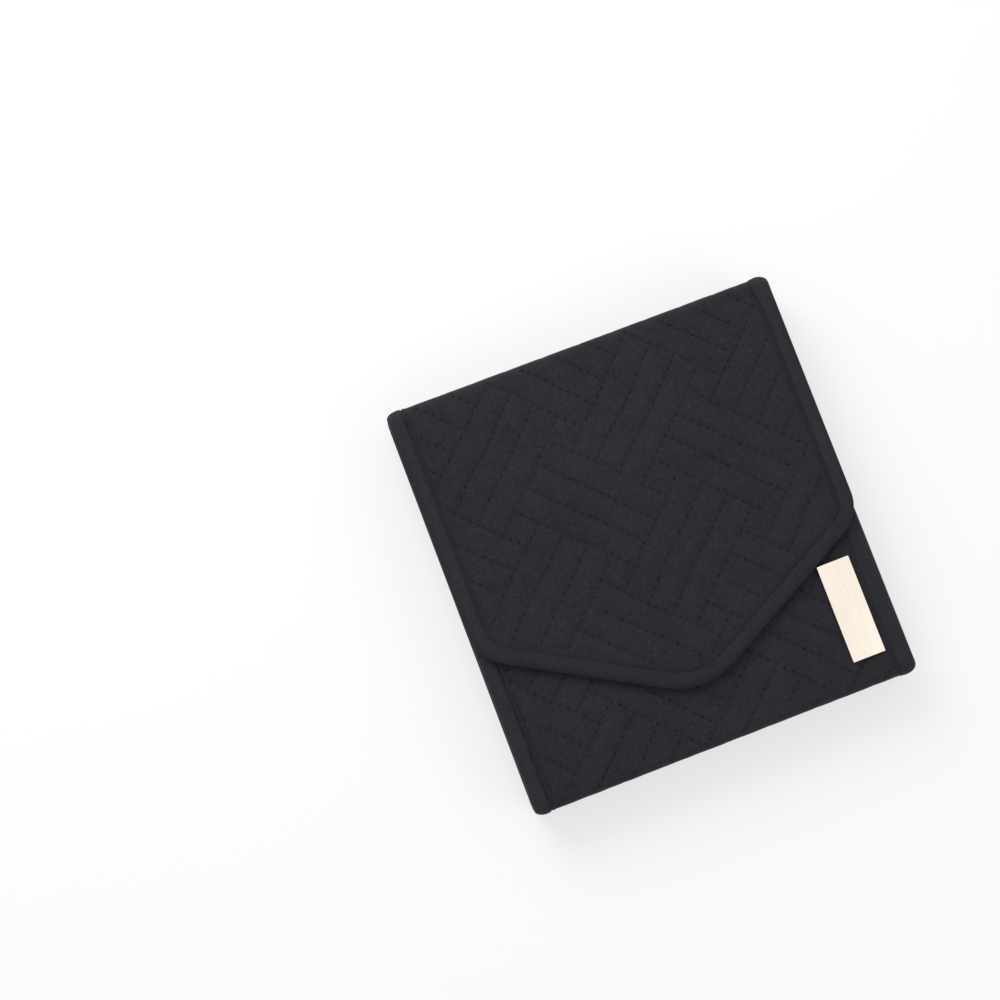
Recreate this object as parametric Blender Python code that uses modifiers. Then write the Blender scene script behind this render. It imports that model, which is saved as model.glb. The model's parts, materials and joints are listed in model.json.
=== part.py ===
"""A quilted folding jewelry organizer case, closed and lying on its back.

The case is one long strip of sewn panels: front panel, bottom spine, back panel, top spine and
pointed flap. Metres, +Z up, +Y towards the top fold, +X to the right, origin under the middle.

Each panel is first made flat in its own sheet coordinates: x across, s along the strip, and depth
below the panel's outer face. It is then wrapped round its folds, mitred there, and turned into place.
"""

import math
from collections import namedtuple

import bmesh
import bpy
from mathutils import Matrix, Vector

# Closed case
CASE_WIDTH = 0.180
CASE_HEIGHT = 0.187
CAVITY = 0.018  # clear height between the back panel and the front panel
FRONT_LENGTH = 0.088  # bottom fold to the front panel's bound edge
FRONT_CORNER = 0.013
SHOULDER_RISE = 0.0726  # bottom fold to where the flap's side and slant would meet
FLAP_SLOPE = math.radians(28.8)
FLAP_ASIDE = 0.0020  # the flap's point lies this far left of the middle
SHOULDER_RADIUS = 0.018
POINT_RADIUS = 0.035

# Layers, from the outside in
GAP = 0.0003
BINDING_WIDTH = 0.010
BINDING_SHEET = 0.0007
BINDING_ROUND = 0.0012
COVER_SHEET = 0.0009
BOARD_SHEET = 0.0008
LINING_SHEET = 0.0006
FLAP_REST_GAP = 0.0004
FOLD_SLACK = 0.0005  # fold radius over the panel's thickness
FOLD_SPARE = 0.020  # cloth past each fold, trimmed off once it is wrapped
FOLD_SWEEP = math.radians(52)
FOLD_STEPS = 3
BOARD_EASE = 0.0005  # boards stop this short of each fold

# Quilting: a plain weave of groups of bars, set at 45 degrees to the sides
BAR_WIDTH = 0.0118
BARS_IN_GROUP = 3
PUFF_EDGE = 0.0024  # how far a bar's crown stands back from its seam
LOW_CROWN = 0.00045  # crown of a bar that is cut too narrow for the full one
LEAST_BAR = 0.0006  # a trimmed bar narrower than this stays flat
BACK_QUILT = (0.0166, 0.0183)  # centre of one group, across and along Y
FRONT_QUILT = (0.0173, -0.0283)
FLAP_QUILT = (0.0139, -0.0068)

# Blank metal plate on the front panel
PLATE_WIDTH = 0.0152
PLATE_LENGTH = 0.0448
PLATE_SHEET = 0.0008
PLATE_BEVEL = 0.00025
PLATE_RISE = 0.01285  # bottom fold to the plate
PLATE_SIDE = 0.0112  # the case's side to the plate
PLATE_POST_RADIUS = 0.0009
PLATE_POST_SPACING = 0.026
BACKING_MARGIN = 0.001

# Hidden magnets of the flap's closure
MAGNET_RADIUS = 0.006
MAGNET_SPACING = 0.040
MAGNET_RISE = 0.0254  # above the place where the flap's two slants would meet

# Zip pocket on the back panel
POCKET_SIDE = 0.015  # the case's side to the pocket
POCKET_RISE = 0.0155  # bottom fold to the pocket
POCKET_DROP = 0.0735  # top fold to the pocket
POCKET_PUFF = 0.0046
POCKET_SHEET = 0.0008
POCKET_CORNER = 0.006
POCKET_EDGE = 0.0015
ZIP_DROP = 0.013  # pocket's upper edge to the zip
ZIP_SIDE = 0.018  # pocket's side to the rows of teeth
WINDOW_WIDTH = 0.0104
WINDOW_END = 0.0025  # window past each end stop
ZIP_SLOT = 0.0022
TAPE_SHEET = 0.0006
TAPE_WIDTH = 0.0080
TAPE_END = 0.0065  # tape past each end stop
TOOTH_PITCH = 0.003
TOOTH_WIDTH = 0.0014
TOOTH_REACH = 0.0013
TOOTH_HEIGHT = 0.0013
COMB_RAIL = 0.0010
STOP_LENGTH = 0.0022
SLIDER_LENGTH = 0.0085
SLIDER_SHEET = 0.0011
SLIDER_FLANGE = 0.0007
SLIDER_NECK = (0.0026, 0.0014)
BRIDGE_LENGTH = 0.0056
BRIDGE_WIDTH = 0.0012
BRIDGE_SHEET = 0.0008
PULL_SHEET = 0.0009
PULL_LENGTH = 0.0112
PULL_WIDTH = 0.0052
PULL_WINDOW = 0.0036
PULL_ROUND = 0.0016

# Pocket that catches the chains of hung necklaces
CHAIN_SIDE = 0.028  # the case's side to the pocket
CHAIN_DROP = 0.0415  # top fold to the pocket's mouth
CHAIN_DEPTH = 0.027
CHAIN_PUFF = 0.0062
CHAIN_HEM = (0.0040, 0.0010)
CHAIN_HEM_ROUND = 0.0004

# Snap tabs that hold the necklaces
TAB_COUNT = 3
TAB_DROP = 0.012  # top fold to the tabs' roots
TAB_LENGTH = 0.021
TAB_WIDTH = 0.011
TAB_SHEET = 0.0010
TAB_HEM = 0.003
TAB_ROUND = 0.004
SNAP_INSET = 0.0055  # the snap's centre from the tab's free end
STUD_BASE = (0.0034, 0.0006)
STUD_NIPPLE = (0.0015, 0.0009)
CAP_RADIUS = 0.0046
CAP_HEIGHT = 0.0013
CAP_SHARES = ((0, 1), (0.55, 0.93), (0.86, 0.66), (1, 0.25), (0.97, 0), (0, 0))
NIPPLE_SHARES = ((0, 1), (0.8, 1), (1, 0.7), (0.85, 0))
BASE_SHARES = ((1, 0.6), (1, 0), (0, 0))

# Ring pad on the front panel's inside
PAD_SIDE = 0.025  # the case's side to the pad
PAD_RISE = 0.0155  # bottom fold to the pad
PAD_DROP = 0.0165  # front panel's bound edge to the pad
PAD_BASE = 0.0025
PAD_CROWN = 0.0062
PAD_ROLLS = 5
PAD_END = 0.007
PAD_DRAWN_SHARE = 0.04  # how much of its length the pad draws in at its ends

# Earring panel on the flap's inside
EARRING_SIDE = 0.022  # the case's side to the panel
EARRING_DROP = 0.0285  # top fold to the panel
EARRING_LENGTH = 0.050
EARRING_SHEET = 0.0008
EARRING_CORNER = 0.004
EARRING_HOLE = 0.0009
EARRING_PAIR = 0.008
EARRING_ROWS = 3
EARRING_COLUMNS = 5
EARRING_EDGE = (0.018, 0.011)  # panel's edges to the outer pairs, across and along

# Fineness and cutting
ARC_STEPS = 7
ROUND_STEPS = 16
HOLE_STEPS = 8
PAD_STEPS = (14, 6)  # across the pad, and along each roll
OVERRUN = 0.002
WELD = 1e-6

# Worked out from the layers
COVER_TOP = BINDING_SHEET + GAP
COVER_BACK = COVER_TOP + COVER_SHEET
BOARD_TOP = COVER_BACK + GAP
BOARD_BACK = BOARD_TOP + BOARD_SHEET
LINING_TOP = BOARD_BACK + GAP
LINING_BACK = LINING_TOP + LINING_SHEET
PANEL = LINING_BACK + GAP + BINDING_SHEET
INNER = LINING_BACK + GAP  # where a piece sewn to the lining starts
EDGE_INSET = BINDING_SHEET + GAP  # the layers' edges from the binding's outer edge
FIELD_INSET = BINDING_WIDTH + GAP  # where the open quilting starts
FOLD_RADIUS = PANEL + FOLD_SLACK
AXIS_INSET = FOLD_RADIUS * (1 - math.sqrt(0.5))  # a fold's axis from each outer face
FRONT_TOP = 2 * PANEL + CAVITY
CASE_DEPTH = FRONT_TOP + FLAP_REST_GAP + PANEL
HALF_WIDTH = CASE_WIDTH / 2
HALF_HEIGHT = CASE_HEIGHT / 2

# Worked out from the case's sides and folds, along Y
FLAP_SHOULDER = CASE_HEIGHT - SHOULDER_RISE
FLAP_POINT = FLAP_SHOULDER + HALF_WIDTH * math.tan(FLAP_SLOPE)
MAGNET_PLACE = HALF_HEIGHT - FLAP_POINT + MAGNET_RISE
POCKET_WIDTH = CASE_WIDTH - 2 * POCKET_SIDE
POCKET_LOW = POCKET_RISE - HALF_HEIGHT
POCKET_HIGH = HALF_HEIGHT - POCKET_DROP
ZIP_PLACE = POCKET_HIGH - ZIP_DROP
CHAIN_WIDTH = CASE_WIDTH - 2 * CHAIN_SIDE
CHAIN_HIGH = HALF_HEIGHT - CHAIN_DROP
TAB_SPACING = CASE_WIDTH / (TAB_COUNT + 1)
TAB_ROOT = HALF_HEIGHT - TAB_DROP
PAD_WIDTH = CASE_WIDTH - 2 * PAD_SIDE
PAD_LENGTH = FRONT_LENGTH - PAD_RISE - PAD_DROP
PAD_PLACE = PAD_RISE + PAD_LENGTH / 2 - HALF_HEIGHT
EARRING_WIDTH = CASE_WIDTH - 2 * EARRING_SIDE
EARRING_PLACE = HALF_HEIGHT - EARRING_DROP - EARRING_LENGTH / 2

# Worked out for the zip, from the pocket's roof up
TEETH_SPAN = POCKET_WIDTH - 2 * ZIP_SIDE
TAPE_HIGH = INNER + POCKET_PUFF - POCKET_SHEET - GAP
TAPE_LOW = TAPE_HIGH - TAPE_SHEET
TEETH_LOW = TAPE_HIGH + GAP
TEETH_HIGH = TEETH_LOW + TOOTH_HEIGHT
TEETH_END = TEETH_SPAN / 2 + TOOTH_PITCH + GAP  # where each end stop starts, across
STOP_END = TEETH_END + STOP_LENGTH
TAPE_LENGTH = 2 * (STOP_END + TAPE_END)
ZIP_WINDOW = (2 * (STOP_END + WINDOW_END), WINDOW_WIDTH)
SLIDER_LOW = TEETH_HIGH + GAP
SLIDER_HIGH = SLIDER_LOW + SLIDER_SHEET
SLIDER_LEFT = GAP - TEETH_END
SLIDER_RIGHT = SLIDER_LEFT + SLIDER_LENGTH
SLIDER_MIDDLE = SLIDER_LEFT + SLIDER_LENGTH / 2
PULL_CLEAR = 1.5 * GAP  # between the slider and its lowered pull
PULL_AXIS = SLIDER_HIGH + PULL_CLEAR + PULL_SHEET / 2

Panel = namedtuple("Panel", "name low high folds paths place quilt")


def flat_place(turn, y, z):
    """Turns a sheet about X by quarter turns and moves it, from sheet to case coordinates."""
    return Matrix.Translation((0, y, z)) @ Matrix.Rotation(math.radians(turn), 4, "X")


def stations(corners):
    """Points along an outline with rounded corners, each with its direction into the sheet."""
    found = []
    for index, (x, s, radius) in enumerate(corners):
        here = Vector((x, s))
        if radius == 0:
            first, last = (here, corners[1]) if index == 0 else (corners[-2], here)
            run = Vector(last[:2]) - Vector(first[:2])
            found.append((here, Vector((run.y, -run.x)).normalized()))
            continue
        back = (Vector(corners[index - 1][:2]) - here).normalized()
        ahead = (Vector(corners[index + 1][:2]) - here).normalized()
        half = back.angle(ahead) / 2
        centre = here + (back + ahead).normalized() * radius / math.sin(half)
        start = (here + back * radius / math.tan(half) - centre).normalized()
        sweep = start.angle_signed((here + ahead * radius / math.tan(half) - centre).normalized())
        for step in range(ARC_STEPS + 1):
            spoke = start.copy()
            spoke.rotate(Matrix.Rotation(-sweep * step / ARC_STEPS, 2))
            found.append((centre + spoke * radius, -spoke))
    return found


def side_paths(low, high):
    """The two bound sides of a panel that is folded at both ends."""
    left = [(-HALF_WIDTH, low - FOLD_SPARE, 0), (-HALF_WIDTH, high + FOLD_SPARE, 0)]
    right = [(HALF_WIDTH, high + FOLD_SPARE, 0), (HALF_WIDTH, low - FOLD_SPARE, 0)]
    return [stations(left), stations(right)]


def front_path(low, high):
    """The front panel's bound edge, down one side, along the opening and up the other side."""
    return [
        stations(
            [
                (HALF_WIDTH, high + FOLD_SPARE, 0),
                (HALF_WIDTH, low, FRONT_CORNER),
                (-HALF_WIDTH, low, FRONT_CORNER),
                (-HALF_WIDTH, high + FOLD_SPARE, 0),
            ]
        )
    ]


def flap_path(low):
    """The flap's bound edge: straight sides, rounded shoulders, slants and a blunt point."""
    shoulder = low + FLAP_SHOULDER
    point = low + FLAP_POINT
    return [
        stations(
            [
                (-HALF_WIDTH, low - FOLD_SPARE, 0),
                (-HALF_WIDTH, shoulder, SHOULDER_RADIUS),
                (-FLAP_ASIDE, point, POINT_RADIUS),
                (HALF_WIDTH, shoulder, SHOULDER_RADIUS),
                (HALF_WIDTH, low - FOLD_SPARE, 0),
            ]
        )
    ]


def panels():
    """The five panels of the strip, with the quilting carried round each fold of the back."""
    back = Panel(
        "back",
        -HALF_HEIGHT,
        HALF_HEIGHT,
        (-1, 1),
        side_paths(-HALF_HEIGHT, HALF_HEIGHT),
        flat_place(0, 0, 0),
        BACK_QUILT,
    )
    top_spine = Panel(
        "top_spine",
        0,
        CASE_DEPTH,
        (-1, 1),
        side_paths(0, CASE_DEPTH),
        flat_place(90, HALF_HEIGHT, 0),
        (BACK_QUILT[0], BACK_QUILT[1] - HALF_HEIGHT),
    )
    bottom_spine = Panel(
        "bottom_spine",
        -FRONT_TOP,
        0,
        (-1, 1),
        side_paths(-FRONT_TOP, 0),
        flat_place(-90, -HALF_HEIGHT, 0),
        (BACK_QUILT[0], BACK_QUILT[1] + HALF_HEIGHT),
    )
    front = Panel(
        "front",
        HALF_HEIGHT - FRONT_LENGTH,
        HALF_HEIGHT,
        (1,),
        front_path(HALF_HEIGHT - FRONT_LENGTH, HALF_HEIGHT),
        flat_place(180, 0, FRONT_TOP),
        (FRONT_QUILT[0], -FRONT_QUILT[1]),
    )
    flap = Panel(
        "flap",
        -HALF_HEIGHT,
        HALF_HEIGHT,
        (-1,),
        flap_path(-HALF_HEIGHT),
        flat_place(180, 0, CASE_DEPTH),
        (FLAP_QUILT[0], -FLAP_QUILT[1]),
    )
    return {panel.name: panel for panel in (back, top_spine, bottom_spine, front, flap)}


# Mesh helpers


def close_holes(bm):
    """Caps what a trimming cut has left open."""
    rim = [edge for edge in bm.edges if edge.is_boundary]
    if rim:
        bmesh.ops.holes_fill(bm, edges=rim, sides=0)


def cut(bm, at, facing, trim=False, faces=None):
    """Cuts the mesh, or some of its faces, by a plane, and may trim what lies past it."""
    faces = bm.faces[:] if faces is None else faces
    edges = {edge for face in faces for edge in face.edges}
    verts = {vert for face in faces for vert in face.verts}
    bmesh.ops.bisect_plane(
        bm,
        geom=faces + list(edges) + list(verts),
        dist=WELD,
        plane_co=at,
        plane_no=facing,
        clear_outer=trim,
    )
    if trim:
        close_holes(bm)


def wrap_fold(bm, panel, way):
    """Wraps the spare cloth at one end round its fold, and mitres it where the next panel starts."""
    tangent = panel.high - FOLD_RADIUS if way > 0 else panel.low + FOLD_RADIUS
    for step in range(FOLD_STEPS + 1):
        along = tangent + way * FOLD_RADIUS * FOLD_SWEEP * step / FOLD_STEPS
        cut(bm, Vector((0, along, 0)), Vector((0, way, 0)), trim=step == FOLD_STEPS)
    bmesh.ops.triangulate(bm, faces=[face for face in bm.faces if len(face.verts) > 4])
    for vert in bm.verts:
        past = way * (vert.co.y - tangent)
        if past > 0:
            angle = past / FOLD_RADIUS
            reach = FOLD_RADIUS - vert.co.z
            vert.co.y = tangent + way * reach * math.sin(angle)
            vert.co.z = FOLD_RADIUS - reach * math.cos(angle)
    facing = Vector((0, way, 1)).normalized()
    centre = Vector((0, tangent, FOLD_RADIUS))
    cut(bm, centre - facing * GAP / 2, facing, trim=True)


def outline(panel, inset):
    """The panel's outline as points in its sheet, set in from the bound edge."""
    return [point + inward * inset for path in panel.paths for point, inward in path]


def prism(points, top, thick):
    """A flat outline given its thickness, from a depth downwards."""
    bm = bmesh.new()
    face = bm.faces.new([bm.verts.new((x, y, top)) for x, y in points])
    grown = bmesh.ops.extrude_face_region(bm, geom=[face])["geom"]
    verts = [item for item in grown if isinstance(item, bmesh.types.BMVert)]
    bmesh.ops.translate(bm, verts=verts, vec=(0, 0, thick))
    return bm


def marked(bm):
    """The faces that are being worked on, which carry the second material index for the time."""
    return [face for face in bm.faces if face.material_index == 1]


def box(low, high):
    """A box between two corners."""
    bm = bmesh.new()
    bmesh.ops.create_cube(bm, size=1)
    low, high = Vector(low), Vector(high)
    bmesh.ops.scale(bm, verts=bm.verts, vec=high - low)
    bmesh.ops.translate(bm, verts=bm.verts, vec=(low + high) / 2)
    return bm


def round_edges(bm, radius, chosen, segments=2):
    """Rounds the edges that a test picks out."""
    bm.normal_update()
    picked = [edge for edge in bm.edges if chosen(edge)]
    bmesh.ops.bevel(
        bm,
        geom=picked,
        offset=radius,
        segments=segments,
        profile=0.5,
        affect="EDGES",
        clamp_overlap=True,
    )


def upright(edge):
    """True for an edge that runs along Z."""
    run = edge.verts[1].co - edge.verts[0].co
    return abs(run.z) > abs(run.x) + abs(run.y)


def cylinder(radius, low, high, x, y, steps):
    """An upright cylinder."""
    bm = bmesh.new()
    bmesh.ops.create_cone(
        bm, cap_ends=True, segments=steps, radius1=radius, radius2=radius, depth=high - low
    )
    bmesh.ops.translate(bm, verts=bm.verts, vec=(x, y, (low + high) / 2))
    return bm


# Objects, bodies and materials


def clear_scene():
    for obj in list(bpy.data.objects):
        bpy.data.objects.remove(obj)


def collection(name):
    made = bpy.data.collections.new(name)
    bpy.context.scene.collection.children.link(made)
    return made


def material(name, color, roughness, metallic=0.0):
    """A plain surface with the piece's colour and gloss."""
    made = bpy.data.materials.new(name)
    made.use_nodes = True
    shader = made.node_tree.nodes["Principled BSDF"]
    shader.inputs["Base Color"].default_value = (*color, 1)
    shader.inputs["Roughness"].default_value = roughness
    shader.inputs["Metallic"].default_value = metallic
    return made


class Case:
    """Keeps the collections, the materials and the pivots that the pieces hang on."""

    def __init__(self):
        self.parts = collection("jewelry_organizer_case")
        self.cutters = collection("cutters")
        self.panels = panels()
        self.pivots = {}
        self.materials = {
            "quilting": material("quilting", (0.032, 0.031, 0.037), 0.9),
            "binding": material("binding", (0.036, 0.035, 0.041), 0.8),
            "lining": material("lining", (0.045, 0.044, 0.050), 0.9),
            "board": material("board", (0.20, 0.19, 0.18), 0.8),
            "elastic": material("elastic", (0.03, 0.03, 0.034), 0.8),
            "zip_tape": material("zip_tape", (0.03, 0.03, 0.034), 0.85),
            "rose_gold": material("rose_gold", (0.80, 0.60, 0.50), 0.25, 1.0),
            "magnet": material("magnet", (0.55, 0.55, 0.57), 0.3, 1.0),
        }

    def pivot(self, body, at, parent=None):
        """An empty on a joint's axis, which carries the body's pieces."""
        empty = bpy.data.objects.new(body + "_pivot", None)
        empty.location = at
        self.parts.objects.link(empty)
        if parent:
            empty.location = Vector(at) - Vector(self.pivots[parent].matrix_world.translation)
            empty.parent = self.pivots[parent]
        bpy.context.view_layer.update()
        self.pivots[body] = empty

    def add(self, bm, name, slot, body=None, place=None, cutter=False):
        """Turns a finished mesh into a named object, riding on its body's pivot."""
        if place is not None:
            bmesh.ops.transform(bm, matrix=place, verts=bm.verts)
        bmesh.ops.recalc_face_normals(bm, faces=bm.faces)
        if bm.calc_volume(signed=True) < 0:
            bmesh.ops.reverse_faces(bm, faces=bm.faces)
        for face in bm.faces:
            face.material_index = 0
        mesh = bpy.data.meshes.new(name)
        bm.to_mesh(mesh)
        bm.free()
        obj = bpy.data.objects.new(name, mesh)
        mesh.materials.append(self.materials[slot])
        if cutter:
            self.cutters.objects.link(obj)
            obj.hide_render = True
            obj.display_type = "WIRE"
            return obj
        self.parts.objects.link(obj)
        if body:
            obj.parent = self.pivots[body]
            obj.matrix_parent_inverse = self.pivots[body].matrix_world.inverted()
        return obj

    def tool(self, bm, name, place=None):
        """A cutter, or a shape that is joined on."""
        return self.add(bm, name, "board", place=place, cutter=True)


def combine(obj, operation, other):
    """Adds a Boolean with one other object."""
    modifier = obj.modifiers.new(other.name, "BOOLEAN")
    modifier.operation = operation
    modifier.object = other
    modifier.solver = "EXACT"


# Quilting


def on_bar_seam(across, along):
    """True where a seam that lies across a group's width has a bar beside it, in bar widths."""
    cell = BARS_IN_GROUP + 1
    group = math.floor(across / cell + 0.5)
    offset = (along - group * cell) % (2 * cell)
    return min(offset, 2 * cell - offset) <= cell / 2 + 0.5


def is_seam(edge, centre):
    """Tells a sewn line from the rest of the cutting grid."""
    cell = BARS_IN_GROUP + 1
    middle = (edge.verts[0].co + edge.verts[1].co) / 2
    x = (middle.x - centre[0]) / BAR_WIDTH
    s = (middle.y - centre[1]) / BAR_WIDTH
    p = (x + s) * math.sqrt(0.5)
    q = (s - x) * math.sqrt(0.5)
    run = edge.verts[1].co - edge.verts[0].co
    if run.x * run.y < 0:
        return on_bar_seam(p, q)
    return on_bar_seam(q, p + cell)


def sew_quilting(bm, field, centre):
    """Cuts a face along the seams and raises a flat-topped crown on each bar."""
    field.material_index = 1
    reach = math.ceil(max(edge.calc_length() for edge in field.edges) * 2 / BAR_WIDTH)
    for facing in (Vector((1, 1, 0)).normalized(), Vector((-1, 1, 0)).normalized()):
        for count in range(-reach, reach):
            at = Vector((*centre, 0)) + facing * BAR_WIDTH * (count + 0.5)
            cut(bm, at, facing, faces=marked(bm))
    loose = [
        edge
        for edge in bm.edges
        if len(edge.link_faces) == 2
        and all(face.material_index == 1 for face in edge.link_faces)
        and not is_seam(edge, centre)
    ]
    bmesh.ops.dissolve_edges(bm, edges=loose, use_verts=True)
    bm.normal_update()
    for face in marked(bm):
        width = face.calc_area() / sum(edge.calc_length() for edge in face.edges)
        back = min(PUFF_EDGE, width / 2)
        crown = max(LOW_CROWN, COVER_TOP * back / PUFF_EDGE)
        if width < LEAST_BAR:
            continue
        bmesh.ops.inset_individual(bm, faces=[face], thickness=back, use_even_offset=True)
        bmesh.ops.translate(bm, verts=face.verts, vec=(0, 0, -crown))


# The sewn panels


def layer(panel, top, thick):
    """A plain layer of a panel, wrapped round the panel's folds."""
    bm = prism(outline(panel, EDGE_INSET), top, thick)
    for way in panel.folds:
        wrap_fold(bm, panel, way)
    return bm


def cover(panel):
    """The outer cloth, quilted between the bindings."""
    bm = bmesh.new()
    points = outline(panel, EDGE_INSET)
    field = bm.faces.new([bm.verts.new((x, s, COVER_TOP)) for x, s in points])
    field.normal_update()
    bmesh.ops.inset_individual(
        bm, faces=[field], thickness=FIELD_INSET - EDGE_INSET, use_even_offset=True
    )
    sew_quilting(bm, field, panel.quilt)
    rim = [edge for edge in bm.edges if edge.is_boundary]
    grown = bmesh.ops.extrude_edge_only(bm, edges=rim)["geom"]
    for item in grown:
        if isinstance(item, bmesh.types.BMVert):
            item.co.z = COVER_BACK
    close_holes(bm)
    for way in panel.folds:
        wrap_fold(bm, panel, way)
    return bm


def board(panel):
    """The stiffener, which stops short of each fold."""
    bm = prism(outline(panel, EDGE_INSET), BOARD_TOP, BOARD_SHEET)
    for way in panel.folds:
        end = panel.high - FOLD_RADIUS if way > 0 else panel.low + FOLD_RADIUS
        cut(bm, Vector((0, end - way * BOARD_EASE, 0)), Vector((0, way, 0)), trim=True)
    return bm


def binding(panel, path):
    """The folded tape along a bound edge: a U section swept along the outline."""
    near = BINDING_ROUND * (1 - math.sqrt(0.5))
    section = [
        (BINDING_WIDTH, BINDING_SHEET),
        (BINDING_WIDTH, 0),
        (BINDING_ROUND, 0),
        (near, near),
        (0, BINDING_ROUND),
        (0, PANEL - BINDING_ROUND),
        (near, PANEL - near),
        (BINDING_ROUND, PANEL),
        (BINDING_WIDTH, PANEL),
        (BINDING_WIDTH, PANEL - BINDING_SHEET),
        (BINDING_SHEET, PANEL - BINDING_SHEET),
        (BINDING_SHEET, BINDING_SHEET),
    ]
    bm = bmesh.new()
    point, inward = path[0]
    ring = [bm.verts.new((*(point + inward * inset), depth)) for inset, depth in section]
    end = bm.faces.new(ring)
    for count, (point, inward) in enumerate(path[1:]):
        behind = end
        grown = bmesh.ops.extrude_face_region(bm, geom=[behind])["geom"]
        end = next(item for item in grown if isinstance(item, bmesh.types.BMFace))
        if count:
            bmesh.ops.delete(bm, geom=[behind], context="FACES_ONLY")
        fresh = {item for item in grown if isinstance(item, bmesh.types.BMVert)}
        ring = [carried(vert, fresh) for vert in ring]
        for vert, (inset, depth) in zip(ring, section):
            vert.co = (*(point + inward * inset), depth)
    for way in panel.folds:
        wrap_fold(bm, panel, way)
    return bm


def carried(vert, fresh):
    """The vertex that an extrusion has drawn out of this one."""
    return next(edge.other_vert(vert) for edge in vert.link_edges if edge.other_vert(vert) in fresh)


def add_panel(case, name, body):
    """Cover, board, lining and bindings of one panel."""
    panel = case.panels[name]
    case.add(cover(panel), name + "_cover", "quilting", body, panel.place)
    case.add(board(panel), name + "_board", "board", body, panel.place)
    lining = layer(panel, LINING_TOP, LINING_SHEET)
    case.add(lining, name + "_lining", "lining", body, panel.place)
    if len(panel.paths) == 1:
        edge = binding(panel, panel.paths[0])
        case.add(edge, name + "_binding", "binding", body, panel.place)
        return
    for side, path in zip(("left", "right"), panel.paths):
        edge = binding(panel, path)
        case.add(edge, name + "_binding_" + side, "binding", body, panel.place)


# The blank plate


def add_plate(case):
    """A bare metal plate, whose two posts pass the cover into a backing plate in the board."""
    place = case.panels["front"].place
    x_high = HALF_WIDTH - PLATE_SIDE
    x_low = x_high - PLATE_WIDTH
    s_high = HALF_HEIGHT - PLATE_RISE
    s_low = s_high - PLATE_LENGTH
    face = box((x_low, s_low, -GAP - PLATE_SHEET), (x_high, s_high, -GAP))
    round_edges(
        face,
        PLATE_BEVEL,
        lambda edge: all(vert.co.z < -GAP - PLATE_SHEET / 2 for vert in edge.verts),
        segments=1,
    )
    plate = case.add(face, "blank_plate", "rose_gold", "front_panel", place)
    low = (x_low + BACKING_MARGIN, s_low + BACKING_MARGIN, BOARD_TOP)
    high = (x_high - BACKING_MARGIN, s_high - BACKING_MARGIN, BOARD_BACK)
    backing = case.add(box(low, high), "plate_backing", "rose_gold", "front_panel", place)
    low = [value - GAP for value in low[:2]] + [BOARD_TOP - OVERRUN]
    high = [value + GAP for value in high[:2]] + [BOARD_BACK + OVERRUN]
    recess = case.tool(box(low, high), "backing_recess", place)
    combine(bpy.data.objects["front_board"], "DIFFERENCE", recess)
    middle = (s_low + s_high) / 2
    across = (x_low + x_high) / 2
    for name, way in (("low", 1), ("high", -1)):
        at = (across, middle + way * PLATE_POST_SPACING / 2)
        radius = PLATE_POST_RADIUS
        post = cylinder(radius, -GAP - PLATE_SHEET / 2, BOARD_BACK, *at, HOLE_STEPS)
        combine(plate, "UNION", case.tool(post, "post_" + name, place))
        bore = cylinder(radius + GAP, -OVERRUN, BOARD_BACK + OVERRUN, *at, HOLE_STEPS)
        bore = case.tool(bore, "post_bore_" + name, place)
        combine(bpy.data.objects["front_cover"], "DIFFERENCE", bore)
        combine(backing, "DIFFERENCE", bore)


def add_magnets(case, name, body):
    """Two magnet discs let into a panel's board."""
    place = case.panels[name].place
    for side, way in (("left", -1), ("right", 1)):
        at = (way * MAGNET_SPACING / 2, -MAGNET_PLACE)
        disc = cylinder(MAGNET_RADIUS, BOARD_TOP, BOARD_BACK, *at, ROUND_STEPS)
        case.add(disc, name + "_magnet_" + side, "magnet", body, place)
        low, high = BOARD_TOP - OVERRUN, BOARD_BACK + OVERRUN
        bore = cylinder(MAGNET_RADIUS + GAP, low, high, *at, ROUND_STEPS)
        bore = case.tool(bore, name + "_magnet_bore_" + side, place)
        combine(bpy.data.objects[name + "_board"], "DIFFERENCE", bore)


# The zip pocket


def patch_pocket(width, low, high, puff, open_top=False, window=None):
    """A pocket's outer sheet: a shallow box, open below, with rounded edges."""
    bm = box((-width / 2, low, INNER), (width / 2, high, INNER + puff))
    round_edges(bm, POCKET_CORNER, upright, segments=3)
    top = INNER + puff
    round_edges(bm, POCKET_EDGE, lambda edge: all(abs(v.co.z - top) < WELD for v in edge.verts))
    if open_top:
        cut(bm, Vector((0, high - POCKET_CORNER, 0)), Vector((0, 1, 0)), trim=True)
    if window:
        (across, along), centre = window
        roof = max(bm.faces, key=lambda face: face.calc_center_median().z)
        roof.material_index = 1
        for way in (1, -1):
            cut(bm, Vector((way * across / 2, 0, 0)), Vector((1, 0, 0)), faces=marked(bm))
            edge = centre + way * along / 2
            cut(bm, Vector((0, edge, 0)), Vector((0, 1, 0)), faces=marked(bm))
        hole = [
            face
            for face in marked(bm)
            if abs(face.calc_center_median().x) < across / 2
            and abs(face.calc_center_median().y - centre) < along / 2
        ]
        bmesh.ops.delete(bm, geom=hole, context="FACES")
    bm.normal_update()
    below = [face for face in bm.faces if face.normal.z < -0.99]
    mouth = [face for face in bm.faces if open_top and face.normal.y > 0.99]
    bmesh.ops.delete(bm, geom=below + mouth, context="FACES")
    return bm


def thicken(obj, thick):
    """Gives an open sheet its wall, inwards."""
    modifier = obj.modifiers.new("wall", "SOLIDIFY")
    modifier.thickness = thick
    modifier.offset = -1
    modifier.use_even_offset = True


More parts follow.
